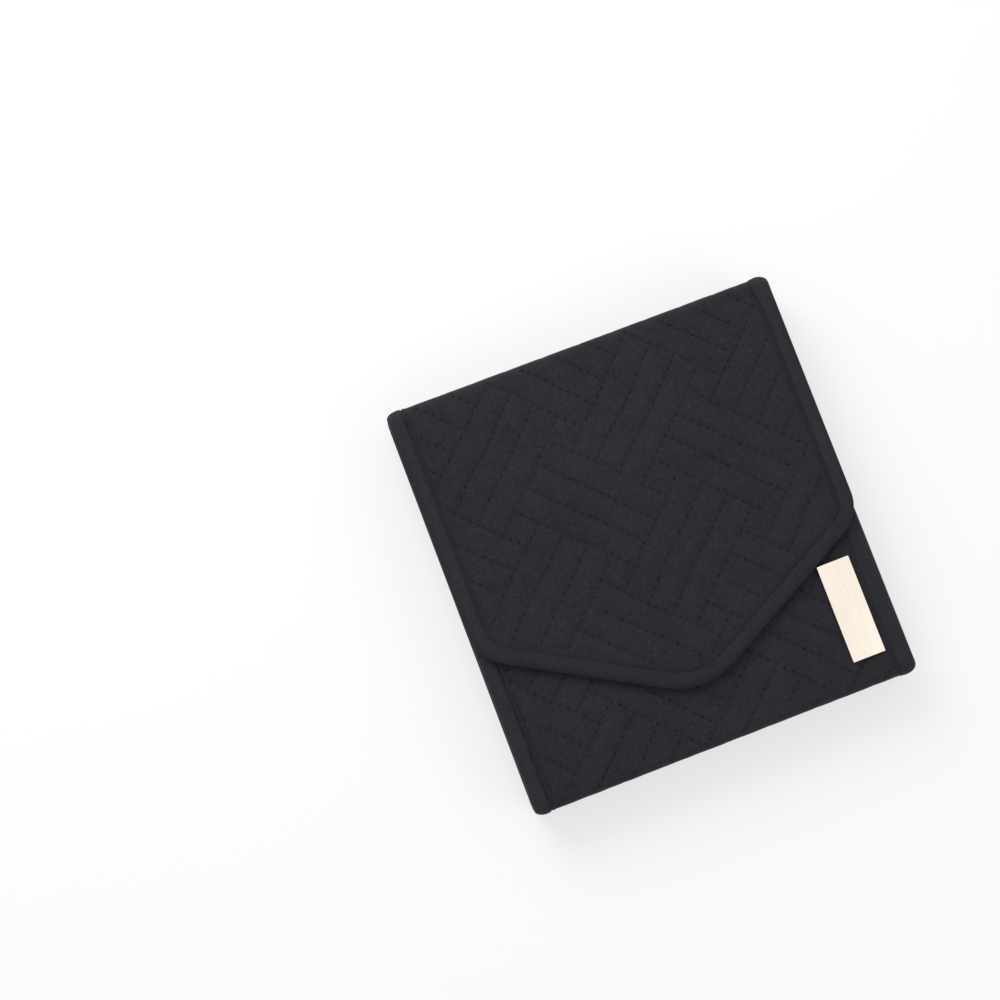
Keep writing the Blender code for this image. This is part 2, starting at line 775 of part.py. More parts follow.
def comb(way, slot_edge, phase):
    """One row of zip teeth on its bead, as an outline in X and Y."""
    count = round(TEETH_SPAN / TOOTH_PITCH)
    start = -count * TOOTH_PITCH / 2 + phase
    inner = slot_edge + TOOTH_REACH
    points = []
    for tooth in range(count):
        x = start + tooth * TOOTH_PITCH
        points += [(x, inner), (x, slot_edge), (x + TOOTH_WIDTH, slot_edge), (x + TOOTH_WIDTH, inner)]
    back = inner + COMB_RAIL
    points += [(points[-1][0] + GAP, inner), (points[-1][0] + GAP, back), (start - GAP, back)]
    points.append((start - GAP, inner))
    return [(x, ZIP_PLACE + way * y) for x, y in points]


def add_zip(case):
    """Tapes under the pocket's window, a row of teeth on each, the end stops, slider and pull."""
    edge = ZIP_SLOT / 2
    for name, way, phase in (("lower", -1, -TOOTH_PITCH / 2), ("upper", 1, 0)):
        near, far = sorted((ZIP_PLACE + way * edge, ZIP_PLACE + way * (edge + TAPE_WIDTH)))
        tape = box((-TAPE_LENGTH / 2, near, TAPE_LOW), (TAPE_LENGTH / 2, far, TAPE_HIGH))
        case.add(tape, "zip_tape_" + name, "zip_tape", "back_panel")
        teeth = prism(comb(way, edge, phase), TEETH_LOW, TOOTH_HEIGHT)
        case.add(teeth, "zip_teeth_" + name, "rose_gold", "back_panel")
    reach = edge + TOOTH_REACH + COMB_RAIL
    for name, way in (("left", -1), ("right", 1)):
        near, far = sorted((way * TEETH_END, way * STOP_END))
        low = (near, ZIP_PLACE - reach, TEETH_LOW)
        stop = box(low, (far, ZIP_PLACE + reach, TEETH_HIGH + SLIDER_FLANGE))
        round_edges(stop, SLIDER_FLANGE / 2, upright, segments=1)
        case.add(stop, "zip_stop_" + name, "rose_gold", "back_panel")
    add_slider(case, reach)
    add_pull(case)


def add_slider(case, reach):
    """The slider: two plates joined by a neck in the slot, and a bridge that holds the pull."""
    left, right = SLIDER_LEFT, SLIDER_RIGHT
    half = reach + GAP + SLIDER_FLANGE
    core = SLIDER_LOW + SLIDER_SHEET / 2
    top = box((left, ZIP_PLACE - half, SLIDER_LOW), (right, ZIP_PLACE + half, SLIDER_HIGH))
    round_edges(top, SLIDER_FLANGE * 2, upright)
    slider = case.add(top, "zip_slider", "rose_gold", "zip_slider")
    under_low = TAPE_LOW - GAP - SLIDER_SHEET
    under = box((left, ZIP_PLACE - reach, under_low), (right, ZIP_PLACE + reach, TAPE_LOW - GAP))
    round_edges(under, SLIDER_FLANGE, upright)
    combine(slider, "UNION", case.tool(under, "slider_under_plate"))
    length, width = SLIDER_NECK
    neck = box(
        (right - length - SLIDER_FLANGE, ZIP_PLACE - width / 2, under_low + SLIDER_SHEET / 2),
        (right - SLIDER_FLANGE, ZIP_PLACE + width / 2, core),
    )
    combine(slider, "UNION", case.tool(neck, "slider_neck"))
    for name, way in (("low", -1), ("high", 1)):
        near, far = sorted((way * (reach + GAP), way * half))
        flange = box(
            (left + SLIDER_FLANGE, ZIP_PLACE + near, SLIDER_LOW - TOOTH_HEIGHT),
            (right - SLIDER_FLANGE, ZIP_PLACE + far, core),
        )
        combine(slider, "UNION", case.tool(flange, "slider_flange_" + name))
    rise = PULL_AXIS + PULL_SHEET / 2 + GAP
    foot = SLIDER_HIGH - SLIDER_SHEET / 2
    arch = box(
        (SLIDER_MIDDLE - BRIDGE_LENGTH / 2, ZIP_PLACE - BRIDGE_WIDTH / 2, foot),
        (SLIDER_MIDDLE + BRIDGE_LENGTH / 2, ZIP_PLACE + BRIDGE_WIDTH / 2, rise + BRIDGE_SHEET),
    )
    round_edges(
        arch,
        BRIDGE_SHEET / 2,
        lambda edge: all(vert.co.z > rise for vert in edge.verts)
        and abs(edge.verts[0].co.y - edge.verts[1].co.y) > WELD,
    )
    combine(slider, "UNION", case.tool(arch, "slider_bridge"))
    inside = BRIDGE_LENGTH / 2 - BRIDGE_SHEET
    opening = box(
        (SLIDER_MIDDLE - inside, ZIP_PLACE - OVERRUN, SLIDER_HIGH),
        (SLIDER_MIDDLE + inside, ZIP_PLACE + OVERRUN, rise),
    )
    combine(slider, "DIFFERENCE", case.tool(opening, "slider_bridge_opening"))


def add_pull(case):
    """The short pull: a rounded tag with a window, whose end bar lies under the bridge."""
    root = SLIDER_MIDDLE - PULL_SHEET / 2
    low = (root, ZIP_PLACE - PULL_WIDTH / 2, PULL_AXIS - PULL_SHEET / 2)
    high = (root + PULL_LENGTH, ZIP_PLACE + PULL_WIDTH / 2, PULL_AXIS + PULL_SHEET / 2)
    tag = box(low, high)
    free = SLIDER_MIDDLE + PULL_LENGTH / 2
    round_edges(tag, PULL_ROUND, lambda edge: upright(edge) and edge.verts[0].co.x > free, 3)
    pull = case.add(tag, "zip_pull", "rose_gold", "zip_pull")
    half = BRIDGE_WIDTH / 2 + GAP
    window = box(
        (root + PULL_SHEET, ZIP_PLACE - half, PULL_AXIS - OVERRUN),
        (root + PULL_SHEET + PULL_WINDOW, ZIP_PLACE + half, PULL_AXIS + OVERRUN),
    )
    combine(pull, "DIFFERENCE", case.tool(window, "pull_window"))


def add_pocket(case):
    """The zip pocket's outer sheet, sewn to the lining, with its zip in a window."""
    window = (ZIP_WINDOW, ZIP_PLACE)
    sheet = patch_pocket(POCKET_WIDTH, POCKET_LOW, POCKET_HIGH, POCKET_PUFF, window=window)
    thicken(case.add(sheet, "pocket_panel", "lining", "back_panel"), POCKET_SHEET)
    add_zip(case)


def add_chain_pocket(case):
    """The open pocket under the snap tabs, with an elastic hem along its mouth."""
    high = CHAIN_HIGH
    low = high - CHAIN_DEPTH
    sheet = patch_pocket(CHAIN_WIDTH, low, high + POCKET_CORNER, CHAIN_PUFF, open_top=True)
    thicken(case.add(sheet, "chain_pocket", "lining", "back_panel"), POCKET_SHEET)
    band, thick = CHAIN_HEM
    base = INNER + CHAIN_PUFF + GAP
    edge = CHAIN_WIDTH / 2 - POCKET_EDGE
    hem = box((-edge, high - band, base), (edge, high, base + thick))
    round_edges(hem, CHAIN_HEM_ROUND, lambda item: not upright(item))
    case.add(hem, "chain_pocket_hem", "elastic", "back_panel")


# The snap tabs


def turned(case, name, slot, body, profile, at):
    """A turned piece: a profile from the top of the axis, down its outer side, to the bottom."""
    mesh = bpy.data.meshes.new(name)
    edges = [(index, index + 1) for index in range(len(profile) - 1)]
    mesh.from_pydata([(radius, 0, height) for radius, height in profile], edges, [])
    bm = bmesh.new()
    bm.from_mesh(mesh)
    bpy.data.meshes.remove(mesh)
    bmesh.ops.spin(
        bm,
        geom=bm.verts[:] + bm.edges[:],
        cent=(0, 0, 0),
        axis=(0, 0, 1),
        angle=math.tau,
        steps=ROUND_STEPS,
        use_merge=True,
    )
    bmesh.ops.remove_doubles(bm, verts=bm.verts, dist=WELD)
    bmesh.ops.translate(bm, verts=bm.verts, vec=at)
    obj = case.add(bm, name, slot, body)
    obj.data.shade_smooth()
    return obj


def add_tab(case, number, x):
    """A tab sewn down at its root, with a snap cap near its free end over a stud on the lining."""
    base, base_height = STUD_BASE
    nipple, nipple_height = STUD_NIPPLE
    free = TAB_ROOT - TAB_LENGTH
    snap = free + SNAP_INSET
    under = INNER + base_height + GAP
    over = under + TAB_SHEET
    strap = box((x - TAB_WIDTH / 2, free, under), (x + TAB_WIDTH / 2, TAB_ROOT, over))
    round_edges(strap, TAB_ROUND, lambda edge: upright(edge) and edge.verts[0].co.y < snap, 3)
    body = f"tab_{number}"
    tab = case.add(strap, body, "lining", body)
    hem = box((x - TAB_WIDTH / 2, TAB_ROOT - TAB_HEM, INNER), (x + TAB_WIDTH / 2, TAB_ROOT, over))
    combine(tab, "UNION", case.tool(hem, body + "_hem"))
    bore = cylinder(nipple + 2 * GAP, under - OVERRUN, over + OVERRUN, x, snap, ROUND_STEPS)
    combine(tab, "DIFFERENCE", case.tool(bore, body + "_bore"))
    cap = [(CAP_RADIUS * out, CAP_HEIGHT * up) for out, up in CAP_SHARES]
    turned(case, f"snap_cap_{number}", "rose_gold", body, cap, (x, snap, over + GAP))
    stud = [(nipple * out, base_height + nipple_height * up) for out, up in NIPPLE_SHARES]
    stud += [(base * out, base_height * up) for out, up in BASE_SHARES]
    turned(case, f"snap_stud_{number}", "rose_gold", "back_panel", stud, (x, snap, INNER))


# The pads on the moving panels


def add_ring_pad(case):
    """A row of sewn foam rolls, crowned and drawn in at their ends, with slots between for rings."""
    across, per_roll = PAD_STEPS
    bm = bmesh.new()
    bmesh.ops.create_grid(bm, x_segments=across, y_segments=PAD_ROLLS * per_roll, size=0.5)
    base = INNER + PAD_BASE
    for vert in bm.verts:
        end = (0.5 - abs(vert.co.x)) * PAD_WIDTH
        crown = math.sqrt(max(0, 1 - (1 - min(end / PAD_END, 1)) ** 2))
        along = (vert.co.y + 0.5) * PAD_ROLLS
        bulge = math.sqrt(max(0, 1 - (2 * (along % 1) - 1) ** 2))
        drawn = 1 - PAD_DRAWN_SHARE * (1 - crown)
        vert.co.x *= PAD_WIDTH
        vert.co.y = vert.co.y * PAD_LENGTH * drawn - PAD_PLACE
        vert.co.z = base + PAD_CROWN * crown * bulge
    rim = [edge for edge in bm.edges if edge.is_boundary]
    grown = bmesh.ops.extrude_edge_only(bm, edges=rim)["geom"]
    for item in grown:
        if isinstance(item, bmesh.types.BMVert):
            item.co.z = INNER
    close_holes(bm)
    case.add(bm, "ring_pad", "lining", "front_panel", case.panels["front"].place)


def add_earring_panel(case):
    """A sheet on the flap's inside with pairs of holes for earring posts."""
    place = case.panels["flap"].place
    low = (-EARRING_WIDTH / 2, -EARRING_PLACE - EARRING_LENGTH / 2, INNER)
    high = (EARRING_WIDTH / 2, -EARRING_PLACE + EARRING_LENGTH / 2, INNER + EARRING_SHEET)
    bm = box(low, high)
    round_edges(bm, EARRING_CORNER, upright, 3)
    sheet = case.add(bm, "earring_panel", "lining", "flap", place)
    holes = bmesh.new()
    edge_x, edge_y = EARRING_EDGE
    pitch_x = (EARRING_WIDTH - 2 * edge_x) / (EARRING_COLUMNS - 1)
    pitch_y = (EARRING_LENGTH - 2 * edge_y) / (EARRING_ROWS - 1)
    for row in range(EARRING_ROWS):
        for column in range(EARRING_COLUMNS):
            for way in (-1, 1):
                x = (column - (EARRING_COLUMNS - 1) / 2) * pitch_x + way * EARRING_PAIR / 2
                y = (row - (EARRING_ROWS - 1) / 2) * pitch_y - EARRING_PLACE
                made = bmesh.ops.create_cone(
                    holes,
                    cap_ends=True,
                    segments=HOLE_STEPS,
                    radius1=EARRING_HOLE,
                    radius2=EARRING_HOLE,
                    depth=EARRING_SHEET + 2 * OVERRUN,
                )
                at = (x, y, INNER + EARRING_SHEET / 2)
                bmesh.ops.translate(holes, verts=made["verts"], vec=at)
    combine(sheet, "DIFFERENCE", case.tool(holes, "earring_holes", place))


def main():
    clear_scene()
    case = Case()
    far, near = HALF_HEIGHT - AXIS_INSET, -HALF_HEIGHT + AXIS_INSET
    case.pivot("back_panel", (0, 0, 0))
    case.pivot("top_spine", (0, far, AXIS_INSET))
    case.pivot("flap", (0, far, CASE_DEPTH - AXIS_INSET), "top_spine")
    case.pivot("bottom_spine", (0, near, AXIS_INSET))
    case.pivot("front_panel", (0, near, FRONT_TOP - AXIS_INSET), "bottom_spine")
    bodies = {"back": "back_panel", "front": "front_panel"}
    for name in case.panels:
        add_panel(case, name, bodies.get(name, name))
    add_plate(case)
    add_magnets(case, "front", "front_panel")
    add_magnets(case, "flap", "flap")
    case.pivot("zip_slider", (SLIDER_MIDDLE, ZIP_PLACE, SLIDER_HIGH))
    case.pivot("zip_pull", (SLIDER_MIDDLE, ZIP_PLACE, PULL_AXIS), "zip_slider")
    for number in range(1, TAB_COUNT + 1):
        case.pivot(f"tab_{number}", (0, TAB_ROOT, INNER))
    add_pocket(case)
    add_chain_pocket(case)
    for number in range(1, TAB_COUNT + 1):
        add_tab(case, number, (number - (TAB_COUNT + 1) / 2) * TAB_SPACING)
    add_ring_pad(case)
    add_earring_panel(case)


main()
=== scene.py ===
# %% [markdown]
# # A quilted folding jewelry case
#
# The case is one long strip of soft panels: a front panel, a bottom spine, a back panel, a top spine
# and a pointed flap. A tape binds its whole edge. Inside are a zip pocket, a chain pocket, three
# snap tabs, a ring pad and an earring panel.
#
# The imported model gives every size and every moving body. It is loaded first, and each soft piece
# is then made again in the same place, with the thickness, stitches and nap of real cloth.

# %% Load the frame
import json
import math

import bmesh
import bpy
import numpy as np
from mathutils import Matrix, Vector

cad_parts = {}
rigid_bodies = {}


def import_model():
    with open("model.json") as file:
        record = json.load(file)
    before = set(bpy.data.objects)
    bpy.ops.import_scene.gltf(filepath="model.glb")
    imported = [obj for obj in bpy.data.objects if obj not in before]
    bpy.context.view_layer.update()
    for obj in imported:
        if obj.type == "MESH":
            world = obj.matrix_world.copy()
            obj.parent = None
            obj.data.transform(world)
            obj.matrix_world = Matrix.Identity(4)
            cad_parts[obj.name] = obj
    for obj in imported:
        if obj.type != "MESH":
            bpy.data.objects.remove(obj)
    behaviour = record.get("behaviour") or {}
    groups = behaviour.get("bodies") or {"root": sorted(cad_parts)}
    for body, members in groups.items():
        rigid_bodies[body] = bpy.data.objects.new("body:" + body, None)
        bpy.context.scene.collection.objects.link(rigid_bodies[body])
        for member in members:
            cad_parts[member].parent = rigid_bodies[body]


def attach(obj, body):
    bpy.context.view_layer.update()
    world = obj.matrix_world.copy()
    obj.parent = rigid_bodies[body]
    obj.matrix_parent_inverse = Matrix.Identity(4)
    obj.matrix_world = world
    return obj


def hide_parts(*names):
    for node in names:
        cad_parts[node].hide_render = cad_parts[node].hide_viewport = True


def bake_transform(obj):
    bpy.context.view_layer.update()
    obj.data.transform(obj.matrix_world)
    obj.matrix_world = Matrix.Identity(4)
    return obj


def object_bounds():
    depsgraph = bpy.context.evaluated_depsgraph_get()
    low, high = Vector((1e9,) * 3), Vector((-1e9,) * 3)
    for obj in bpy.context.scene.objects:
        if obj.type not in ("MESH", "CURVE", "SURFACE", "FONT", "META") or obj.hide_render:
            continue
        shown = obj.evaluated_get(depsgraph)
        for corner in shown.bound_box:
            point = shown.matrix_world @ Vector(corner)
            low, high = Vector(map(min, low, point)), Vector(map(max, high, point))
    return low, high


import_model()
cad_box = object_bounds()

MM = 0.001
print("box in mm", [[round(value / MM, 1) for value in corner] for corner in cad_box])

# %% [markdown]
# ## The strip and its folds
#
# Cloth is cut flat and then folded, so every sewn layer is drawn flat first. A point of the flat
# strip has a place across (x), a place along the strip (s) and a depth below the outer face.
# One function rolls that flat drawing round the four folds. Drawing each panel in space would work
# too, but the quilting and the edge tape would then have to be matched by hand at every fold.

# %% Sizes of the folded strip
HALF_WIDTH = 90.0 * MM
HALF_HEIGHT = 93.5 * MM
CASE_DEPTH = cad_box[1][2]
FRONT_TOP = 27.8 * MM
FOLD_RADIUS = 5.4 * MM
PANEL = 4.9 * MM
FOLD_ARC = FOLD_RADIUS * math.pi / 2
BACK_END = HALF_HEIGHT - FOLD_RADIUS
TOP_START = BACK_END + FOLD_ARC
TOP_END = TOP_START + CASE_DEPTH - 2 * FOLD_RADIUS
FLAP_START = TOP_END + FOLD_ARC
BOTTOM_START = -BACK_END - FOLD_ARC
BOTTOM_END = BOTTOM_START - FRONT_TOP + 2 * FOLD_RADIUS
FRONT_START = BOTTOM_END - FOLD_ARC
FRONT_EDGE = FRONT_START - 82.6 * MM
SHOULDER = FLAP_START + BACK_END + 20.9 * MM
MIDDLES = ((BOTTOM_START + BOTTOM_END) / 2, 0.0, (TOP_START + TOP_END) / 2)
print("strip runs from", round(FRONT_EDGE / MM, 1), "to the shoulders at", round(SHOULDER / MM, 1))

# %% Roll the flat strip into the case


def rolled(s, depth):
    """Y and Z of points of the strip, from their places along it and depths below its face."""
    half = np.where(s < 0, -1.0, 1.0)
    top = np.where(s < 0, FRONT_TOP, CASE_DEPTH)
    along = np.abs(s)
    spine = top - 2 * FOLD_RADIUS
    turn = np.clip((along - BACK_END) / FOLD_RADIUS, 0, math.pi / 2)
    turn = turn + np.clip((along - BACK_END - FOLD_ARC - spine) / FOLD_RADIUS, 0, math.pi / 2)
    flat = np.minimum(along, BACK_END)
    rise = np.clip(along - BACK_END - FOLD_ARC, 0, spine)
    back = np.maximum(along - BACK_END - 2 * FOLD_ARC - spine, 0)
    reach = FOLD_RADIUS - depth
    y = flat - back + reach * np.sin(turn)
    z = FOLD_RADIUS + rise - reach * np.cos(turn)
    return half * y, z


for place in (0.0, TOP_START, FLAP_START, BOTTOM_START, FRONT_START):
    y, z = rolled(np.array([place]), np.array([0.0]))
    print("s", round(place / MM, 1), "is at y", round(y[0] / MM, 1), "z", round(z[0] / MM, 1))

# %% [markdown]
# ## Small helpers
#
# Most soft pieces start as a plain grid that is moved point by point, because a grid keeps even
# faces and gives the cloth its UV map for nothing. The helpers below make the grid, turn a flat
# drawing into a mesh object and hang a material on it.

# %% Helpers for grids and pieces


def grid(across, along):
    """A flat grid as a mesh, with its points' places from 0 to 1 both ways."""
    bm = bmesh.new()
    bmesh.ops.create_grid(bm, x_segments=across, y_segments=along, size=0.5)
    mesh = bpy.data.meshes.new("grid")
    bm.to_mesh(mesh)
    bm.free()
    points = places(mesh)
    return mesh, points[:, 0] + 0.5, points[:, 1] + 0.5


def places(mesh):
    """A mesh's points as rows of X, Y and Z."""
    flat = np.empty(len(mesh.vertices) * 3)
    mesh.vertices.foreach_get("co", flat)
    return flat.reshape(-1, 3)


def moved(mesh, x, y, z):
    """Puts a mesh's points at new places."""
    mesh.vertices.foreach_set("co", np.column_stack([x, y, z]).ravel())
    mesh.update()


def laid_out(mesh, u, v):
    """A UV map from one pair of values for each point, in metres of cloth."""
    layer = mesh.uv_layers.new(name="cloth")
    corners = np.empty(len(mesh.loops), dtype=np.int32)
    mesh.loops.foreach_get("vertex_index", corners)
    layer.data.foreach_set("uv", np.column_stack([u[corners], v[corners]]).ravel())


def marked(mesh, name, values):
    """A value for each point that a material can read."""
    attribute = mesh.attributes.new(name, "FLOAT", "POINT")
    attribute.data.foreach_set("value", np.asarray(values, dtype=np.float32))


def piece(mesh, name, finish):
    """A finished mesh as a named object with its material."""
    mesh.name = name
    obj = bpy.data.objects.new(name, mesh)
    bpy.context.scene.collection.objects.link(obj)
    mesh.materials.clear()
    mesh.materials.append(finish)
    mesh.shade_smooth()
    return obj


def mended(mesh, outwards=True):
    """Merges points that meet and turns all faces the same way, outwards on a closed piece."""
    bm = bmesh.new()
    bm.from_mesh(mesh)
    bmesh.ops.remove_doubles(bm, verts=bm.verts, dist=0.002 * MM)
    if outwards:
        bmesh.ops.recalc_face_normals(bm, faces=bm.faces)
        if bm.calc_volume(signed=True) < 0:
            bmesh.ops.reverse_faces(bm, faces=bm.faces)
    bm.to_mesh(mesh)
    bm.free()
    return mesh


def ripple(x, y, size, seed):
    """Soft unevenness from -1 to 1: waves of about one size that cross at random angles."""
    random = np.random.default_rng(seed)
    total = np.zeros_like(x)
    for _ in range(9):
        angle, phase = random.uniform(0, math.tau, 2)
        length = size * random.uniform(0.7, 1.5)
        total += np.sin(math.tau * (x * math.cos(angle) + y * math.sin(angle)) / length + phase)
    return total / 5


def eased(value):
    """A step from 0 to 1 with soft ends."""
    value = np.clip(value, 0, 1)
    return value * value * (3 - 2 * value)


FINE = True
print("fine meshes" if FINE else "coarse meshes for a trial")

# %% [markdown]
# ## Camera, floor and light
#
# The case lies on its back and the camera looks down on it from 5 degrees off the upright, turned so
# that the case leans 20.8 degrees. That lets a thin line of the bottom spine show below the front
# panel. The lamps are large and soft, because cloth with a nap shows its low relief in a gentle
# light, and the floor is plain and pale.

# %% Camera
LEAN = math.radians(20.83)
TILT = math.radians(5.08)
SIDE_TILT = math.radians(-1.98)
FRAME_WIDTH = 436.2 * MM
CAMERA_DISTANCE = 0.8
right = Vector((math.cos(LEAN), -math.sin(LEAN), 0))
up = Vector((math.sin(LEAN), math.cos(LEAN), 0))
aim = up * 18.0 * MM - right * 67.1 * MM + Vector((0, 0, CASE_DEPTH))
turn = Matrix.Rotation(-LEAN, 3, "Z") @ Matrix.Rotation(SIDE_TILT, 3, "Y") @ Matrix.Rotation(TILT, 3, "X")
camera_data = bpy.data.cameras.new("camera")
camera_data.sensor_width = 36
camera_data.lens = 36 * CAMERA_DISTANCE / FRAME_WIDTH
camera_data.clip_start = 0.05
camera_data.clip_end = 20
camera = bpy.data.objects.new("camera", camera_data)
bpy.context.scene.collection.objects.link(camera)
camera.location = aim + turn.col[2] * CAMERA_DISTANCE
camera.rotation_euler = turn.to_euler()
bpy.context.scene.camera = camera
bpy.context.scene.view_settings.view_transform = "Standard"
print("lens", round(camera_data.lens, 1), "mm")

# %% Floor and surroundings


def nodes_of(owner):
    """The node tree of a new material or world, emptied."""
    owner.use_nodes = True
    owner.node_tree.nodes.clear()
    return owner.node_tree


def clean_rays(tree):
    """1 for rays from the camera, a mirror or a glass, 0 for the rest."""
    path = tree.nodes.new("ShaderNodeLightPath")
    first = tree.nodes.new("ShaderNodeMath")
    first.operation = "MAXIMUM"
    tree.links.new(path.outputs["Is Camera Ray"], first.inputs[0])
    tree.links.new(path.outputs["Is Glossy Ray"], first.inputs[1])
    both = tree.nodes.new("ShaderNodeMath")
    both.operation = "MAXIMUM"
    tree.links.new(first.outputs[0], both.inputs[0])
    tree.links.new(path.outputs["Is Transmission Ray"], both.inputs[1])
    return both.outputs[0]


world = bpy.data.worlds.new("studio")
bpy.context.scene.world = world
tree = nodes_of(world)
room = tree.nodes.new("ShaderNodeBackground")
room.inputs["Color"].default_value = (1, 1, 1, 1)
room.inputs["Strength"].default_value = 0.62
white = tree.nodes.new("ShaderNodeBackground")
white.inputs["Strength"].default_value = 1
white.inputs["Color"].default_value = (1, 1, 1, 1)
mix = tree.nodes.new("ShaderNodeMixShader")
tree.links.new(clean_rays(tree), mix.inputs["Fac"])
tree.links.new(room.outputs[0], mix.inputs[1])
tree.links.new(white.outputs[0], mix.inputs[2])
out = tree.nodes.new("ShaderNodeOutputWorld")
tree.links.new(mix.outputs[0], out.inputs["Surface"])

bm = bmesh.new()
bmesh.ops.create_grid(bm, x_segments=1, y_segments=1, size=3)
floor_mesh = bpy.data.meshes.new("floor")
bm.to_mesh(floor_mesh)
bm.free()
floor = bpy.data.objects.new("floor", floor_mesh)
bpy.context.scene.collection.objects.link(floor)
floor_paint = bpy.data.materials.new("floor_paint")
tree = nodes_of(floor_paint)
paper = tree.nodes.new("ShaderNodeBsdfDiffuse")
paper.inputs["Color"].default_value = (0.93, 0.93, 0.93, 1)
glow = tree.nodes.new("ShaderNodeEmission")
glow.inputs["Strength"].default_value = 1
part = tree.nodes.new("ShaderNodeMath")
part.operation = "MULTIPLY"
part.inputs[1].default_value = 0.6
tree.links.new(clean_rays(tree), part.inputs[0])
mix = tree.nodes.new("ShaderNodeMixShader")
tree.links.new(part.outputs[0], mix.inputs["Fac"])
tree.links.new(paper.outputs[0], mix.inputs[1])
tree.links.new(glow.outputs[0], mix.inputs[2])
out = tree.nodes.new("ShaderNodeOutputMaterial")
tree.links.new(mix.outputs[0], out.inputs["Surface"])
floor_mesh.materials.append(floor_paint)
floor.location.z = -0.0003

# %% Lamps


def lamp(name, place, size, power):
    """A square soft lamp that faces the case."""
    data = bpy.data.lights.new(name, "AREA")
    data.size = size
    data.energy = power
    made = bpy.data.objects.new(name, data)
    made.location = place
    made.rotation_euler = Vector(place).to_track_quat("Z", "Y").to_euler()
    bpy.context.scene.collection.objects.link(made)


lamp("key", right * -0.45 + up * 0.55 + Vector((0, 0, 0.6)), 0.6, 5.5)
lamp("fill", right * 1.3 - up * 0.6 + Vector((0, 0, 1.0)), 0.9, 4.2)
print("two lamps and a pale room")

# %% [markdown]
# ## The charcoal cloth
#
# The outside is a brushed cloth with a very short nap: matte, nearly black, slightly violet and a
# little mottled where the fibres lie different ways. Noises of four sizes give the nap its grain,
# its tufts and its mottling, scattered pale dots are caught lint, and sheen gives the bloom at
# grazing angles. The seams carry a value that paints shade into the cloth where it is pressed down,
# and paints each needle hole nearly black with shade.

# %% Cloth materials


def node(tree, kind, **settings):
    """Adds a node and sets its properties."""
    made = tree.nodes.new(kind)
    for name, value in settings.items():
        setattr(made, name, value)
    return made


def noise(tree, coordinates, scale, detail=2.0, roughness=0.5):
    """A noise pattern whose scale is counted per metre."""
    made = node(tree, "ShaderNodeTexNoise")
    made.inputs["Scale"].default_value = scale
    made.inputs["Detail"].default_value = detail
    made.inputs["Roughness"].default_value = roughness
    tree.links.new(coordinates, made.inputs["Vector"])
    return made.outputs["Fac"]


def ranged(tree, value, low, high, to_low, to_high):
    """Maps a range of values to another."""
    made = node(tree, "ShaderNodeMapRange")
    made.inputs["From Min"].default_value = low
    made.inputs["From Max"].default_value = high
    made.inputs["To Min"].default_value = to_low
    made.inputs["To Max"].default_value = to_high
    tree.links.new(value, made.inputs["Value"])
    return made.outputs["Result"]


def computed(tree, operation, first, second):
    """One arithmetic step between two values or numbers."""
    made = node(tree, "ShaderNodeMath", operation=operation)
    for index, value in enumerate((first, second)):
        if isinstance(value, (int, float)):
            made.inputs[index].default_value = value
        else:
            tree.links.new(value, made.inputs[index])
    return made.outputs[0]


def tinted(tree, color, value):
    """A colour made lighter or darker by a value."""
    made = node(tree, "ShaderNodeVectorMath", operation="SCALE")
    made.inputs[0].default_value = color
    tree.links.new(value, made.inputs["Scale"])
    return made.outputs[0]


